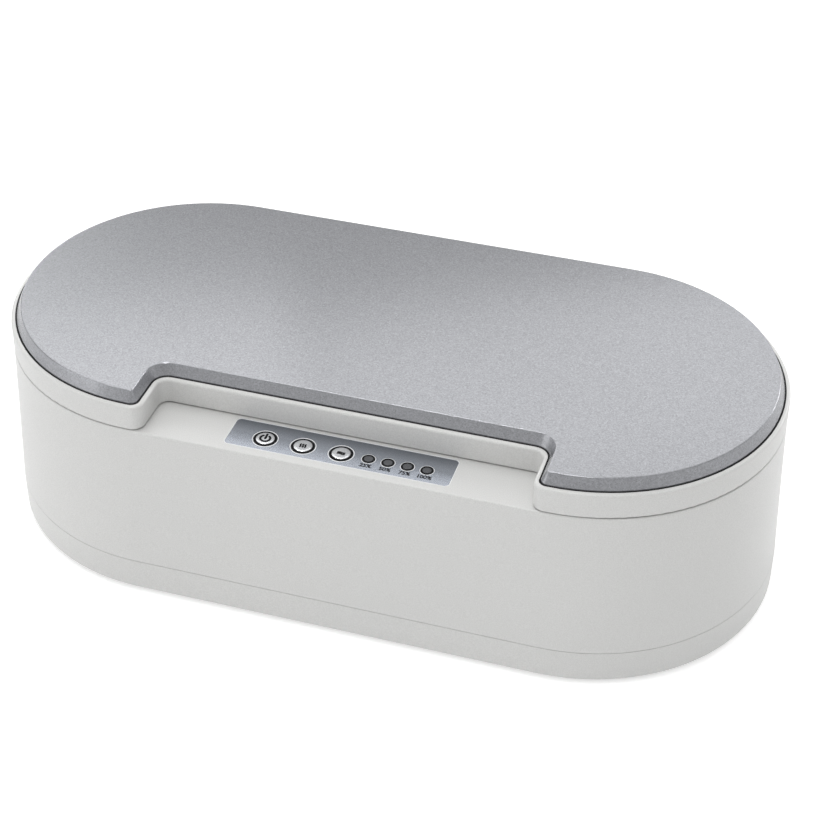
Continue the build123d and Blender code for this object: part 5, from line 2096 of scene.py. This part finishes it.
@dataclass
class Studio:
    """The pale floor, the soft light and the camera.

    Attributes:
        floor_radius: Radius of the floor, in metres.
        floor_points: Points round the floor's edge.
        azimuth: The camera's angle round the object, in degrees.
        elevation: Its angle above the floor, in degrees.
        roll: Its tilt about its own axis, in degrees.
        distance: How far it stands from what it looks at, in metres.
        aim: What it looks at, in millimetres.
        lens: Its focal length, in millimetres.
        film: Width of its film, in millimetres.
        near: How near it still sees, in metres.
        world: Strength of the light from all sides.
        sky: The sine of each height above the horizon, from 0, and how bright the sky is there.
        lights: The soft lights.
    """

    floor_radius: float = 5.0
    floor_points: int = 120
    azimuth: float = 16.71
    elevation: float = 36.53
    roll: float = 0.59
    distance: float = 0.58128
    aim: Point = (5.10, 3.18, 38.13)
    lens: float = 85.19
    film: float = 36.0
    near: float = 0.01
    world: float = 0.81
    sky: tuple[Flat, ...] = ((0.0, 1.4), (0.35, 0.42), (0.8, 1.0))
    lights: tuple[SoftBox, ...] = (
        SoftBox(
            "rear_left", (-0.27, 0.17, 0.292), (0.385, 0.126), 0.205, aim=(-0.27, -1.0, 0.292), roll=14.0
        ),
        SoftBox(
            "rear_right", (0.12, 0.17, 0.189), (0.405, 0.126), 0.175, aim=(0.12, -1.0, 0.189), roll=19.0
        ),
        SoftBox("ceiling_strip", (-0.1, -0.05, 1.2), (1.6, 0.09), 6.0),
        SoftBox("left_corner", (-0.67, 0.77, 0.38), (0.25, 0.2), 1.2),
        SoftBox("right_corner", (0.6, 0.77, 0.4), (0.2, 0.16), 1.4),
        SoftBox("left_front", (-1.3, -0.9, 0.7), (0.9, 0.9), 4.6),
        SoftBox("front", (-0.1, -1.3, 1.3), (1.8, 0.8), 0.65),
    )

    def build(self) -> None:
        """Builds the whole studio."""
        self.build_floor()
        for light in self.lights:
            light.build()
        self.build_world()
        self.build_camera()
        bpy.context.scene.view_settings.view_transform = "Standard"

    def build_floor(self) -> None:
        """Lays a round floor."""
        step = 360 / self.floor_points
        rim = arc((0.0, 0.0), self.floor_radius, 0, 360 - step, self.floor_points - 1)
        mesh = bpy.data.meshes.new("floor")
        mesh.from_pydata([(x, y, 0.0) for x, y in rim], [], [tuple(range(len(rim)))])
        mesh.materials.append(PALETTE.get("floor"))
        floor = bpy.data.objects.new("floor", mesh)
        bpy.context.scene.collection.objects.link(floor)

    def build_world(self) -> None:
        """Lights the scene softly from all sides, and least from a little above the horizon."""
        world = bpy.data.worlds.new("studio")
        bpy.context.scene.world = world
        world.use_nodes = True
        world.node_tree.nodes.clear()
        sheet = Sheet(world.node_tree)
        parts = sheet.add("ShaderNodeSeparateXYZ")
        sheet.join(sheet.add("ShaderNodeTexCoord").outputs["Generated"], parts.inputs[0])
        ramp = sheet.add("ShaderNodeValToRGB")
        sheet.join(parts.outputs["Z"], ramp.inputs[0])
        steps = ramp.color_ramp.elements
        steps.remove(steps[1])
        for height, tone in self.sky:
            step = steps.new(height) if height > 0.0 else steps[0]
            step.color = (tone, tone, tone, 1.0)
        background = sheet.add("ShaderNodeBackground", {"Strength": self.world})
        sheet.join(ramp.outputs[0], background.inputs["Color"])
        sheet.join(background.outputs[0], sheet.add("ShaderNodeOutputWorld").inputs["Surface"])

    def build_camera(self) -> None:
        """Stands the camera at its angle and distance from what it looks at."""
        turn, rise, roll = (math.radians(a) for a in (self.azimuth, self.elevation, self.roll))
        back = Vector((math.sin(turn) * math.cos(rise), -math.cos(turn) * math.cos(rise), math.sin(rise)))
        lens = bpy.data.cameras.new("camera")
        lens.lens = self.lens
        lens.sensor_width = self.film
        lens.clip_start = self.near
        right = Vector((math.cos(turn), math.sin(turn), 0.0))
        up = back.cross(right)
        across = right * math.cos(roll) + up * math.sin(roll)
        upright = up * math.cos(roll) - right * math.sin(roll)
        camera = bpy.data.objects.new("camera", lens)
        turned = Matrix((across, upright, back)).transposed()
        camera.matrix_world = Matrix.LocRotScale(Vector(self.aim) * MM + back * self.distance, turned, None)
        bpy.context.scene.collection.objects.link(camera)
        bpy.context.scene.camera = camera


def main() -> None:
    """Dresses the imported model, adds its finer parts and lights it."""
    logging.basicConfig(level=logging.INFO, format="%(name)s %(message)s")
    dress_nodes()
    KeyFace("power_key", KeyMark.POWER).build()
    KeyFace("disinfect_key", KeyMark.UPRIGHT_WAVES).build()
    KeyFace("aroma_key", KeyMark.LEVEL_WAVES).build()
    LightRow().build()
    FilmEdgeHighlight().build()
    for node, body in SCREWS.items():
        ScrewSet(node, body).build()
    LampSet("lower_uv_lamps", "base").build()
    LampSet("lid_uv_lamps", "lid").build()
    LightSeal().build()
    CoverJointShadow().build()
    AromaPad().build()
    FootSet().build()
    PowerInlet().build()
    Studio().build()


if __name__ == "__main__":
    main()
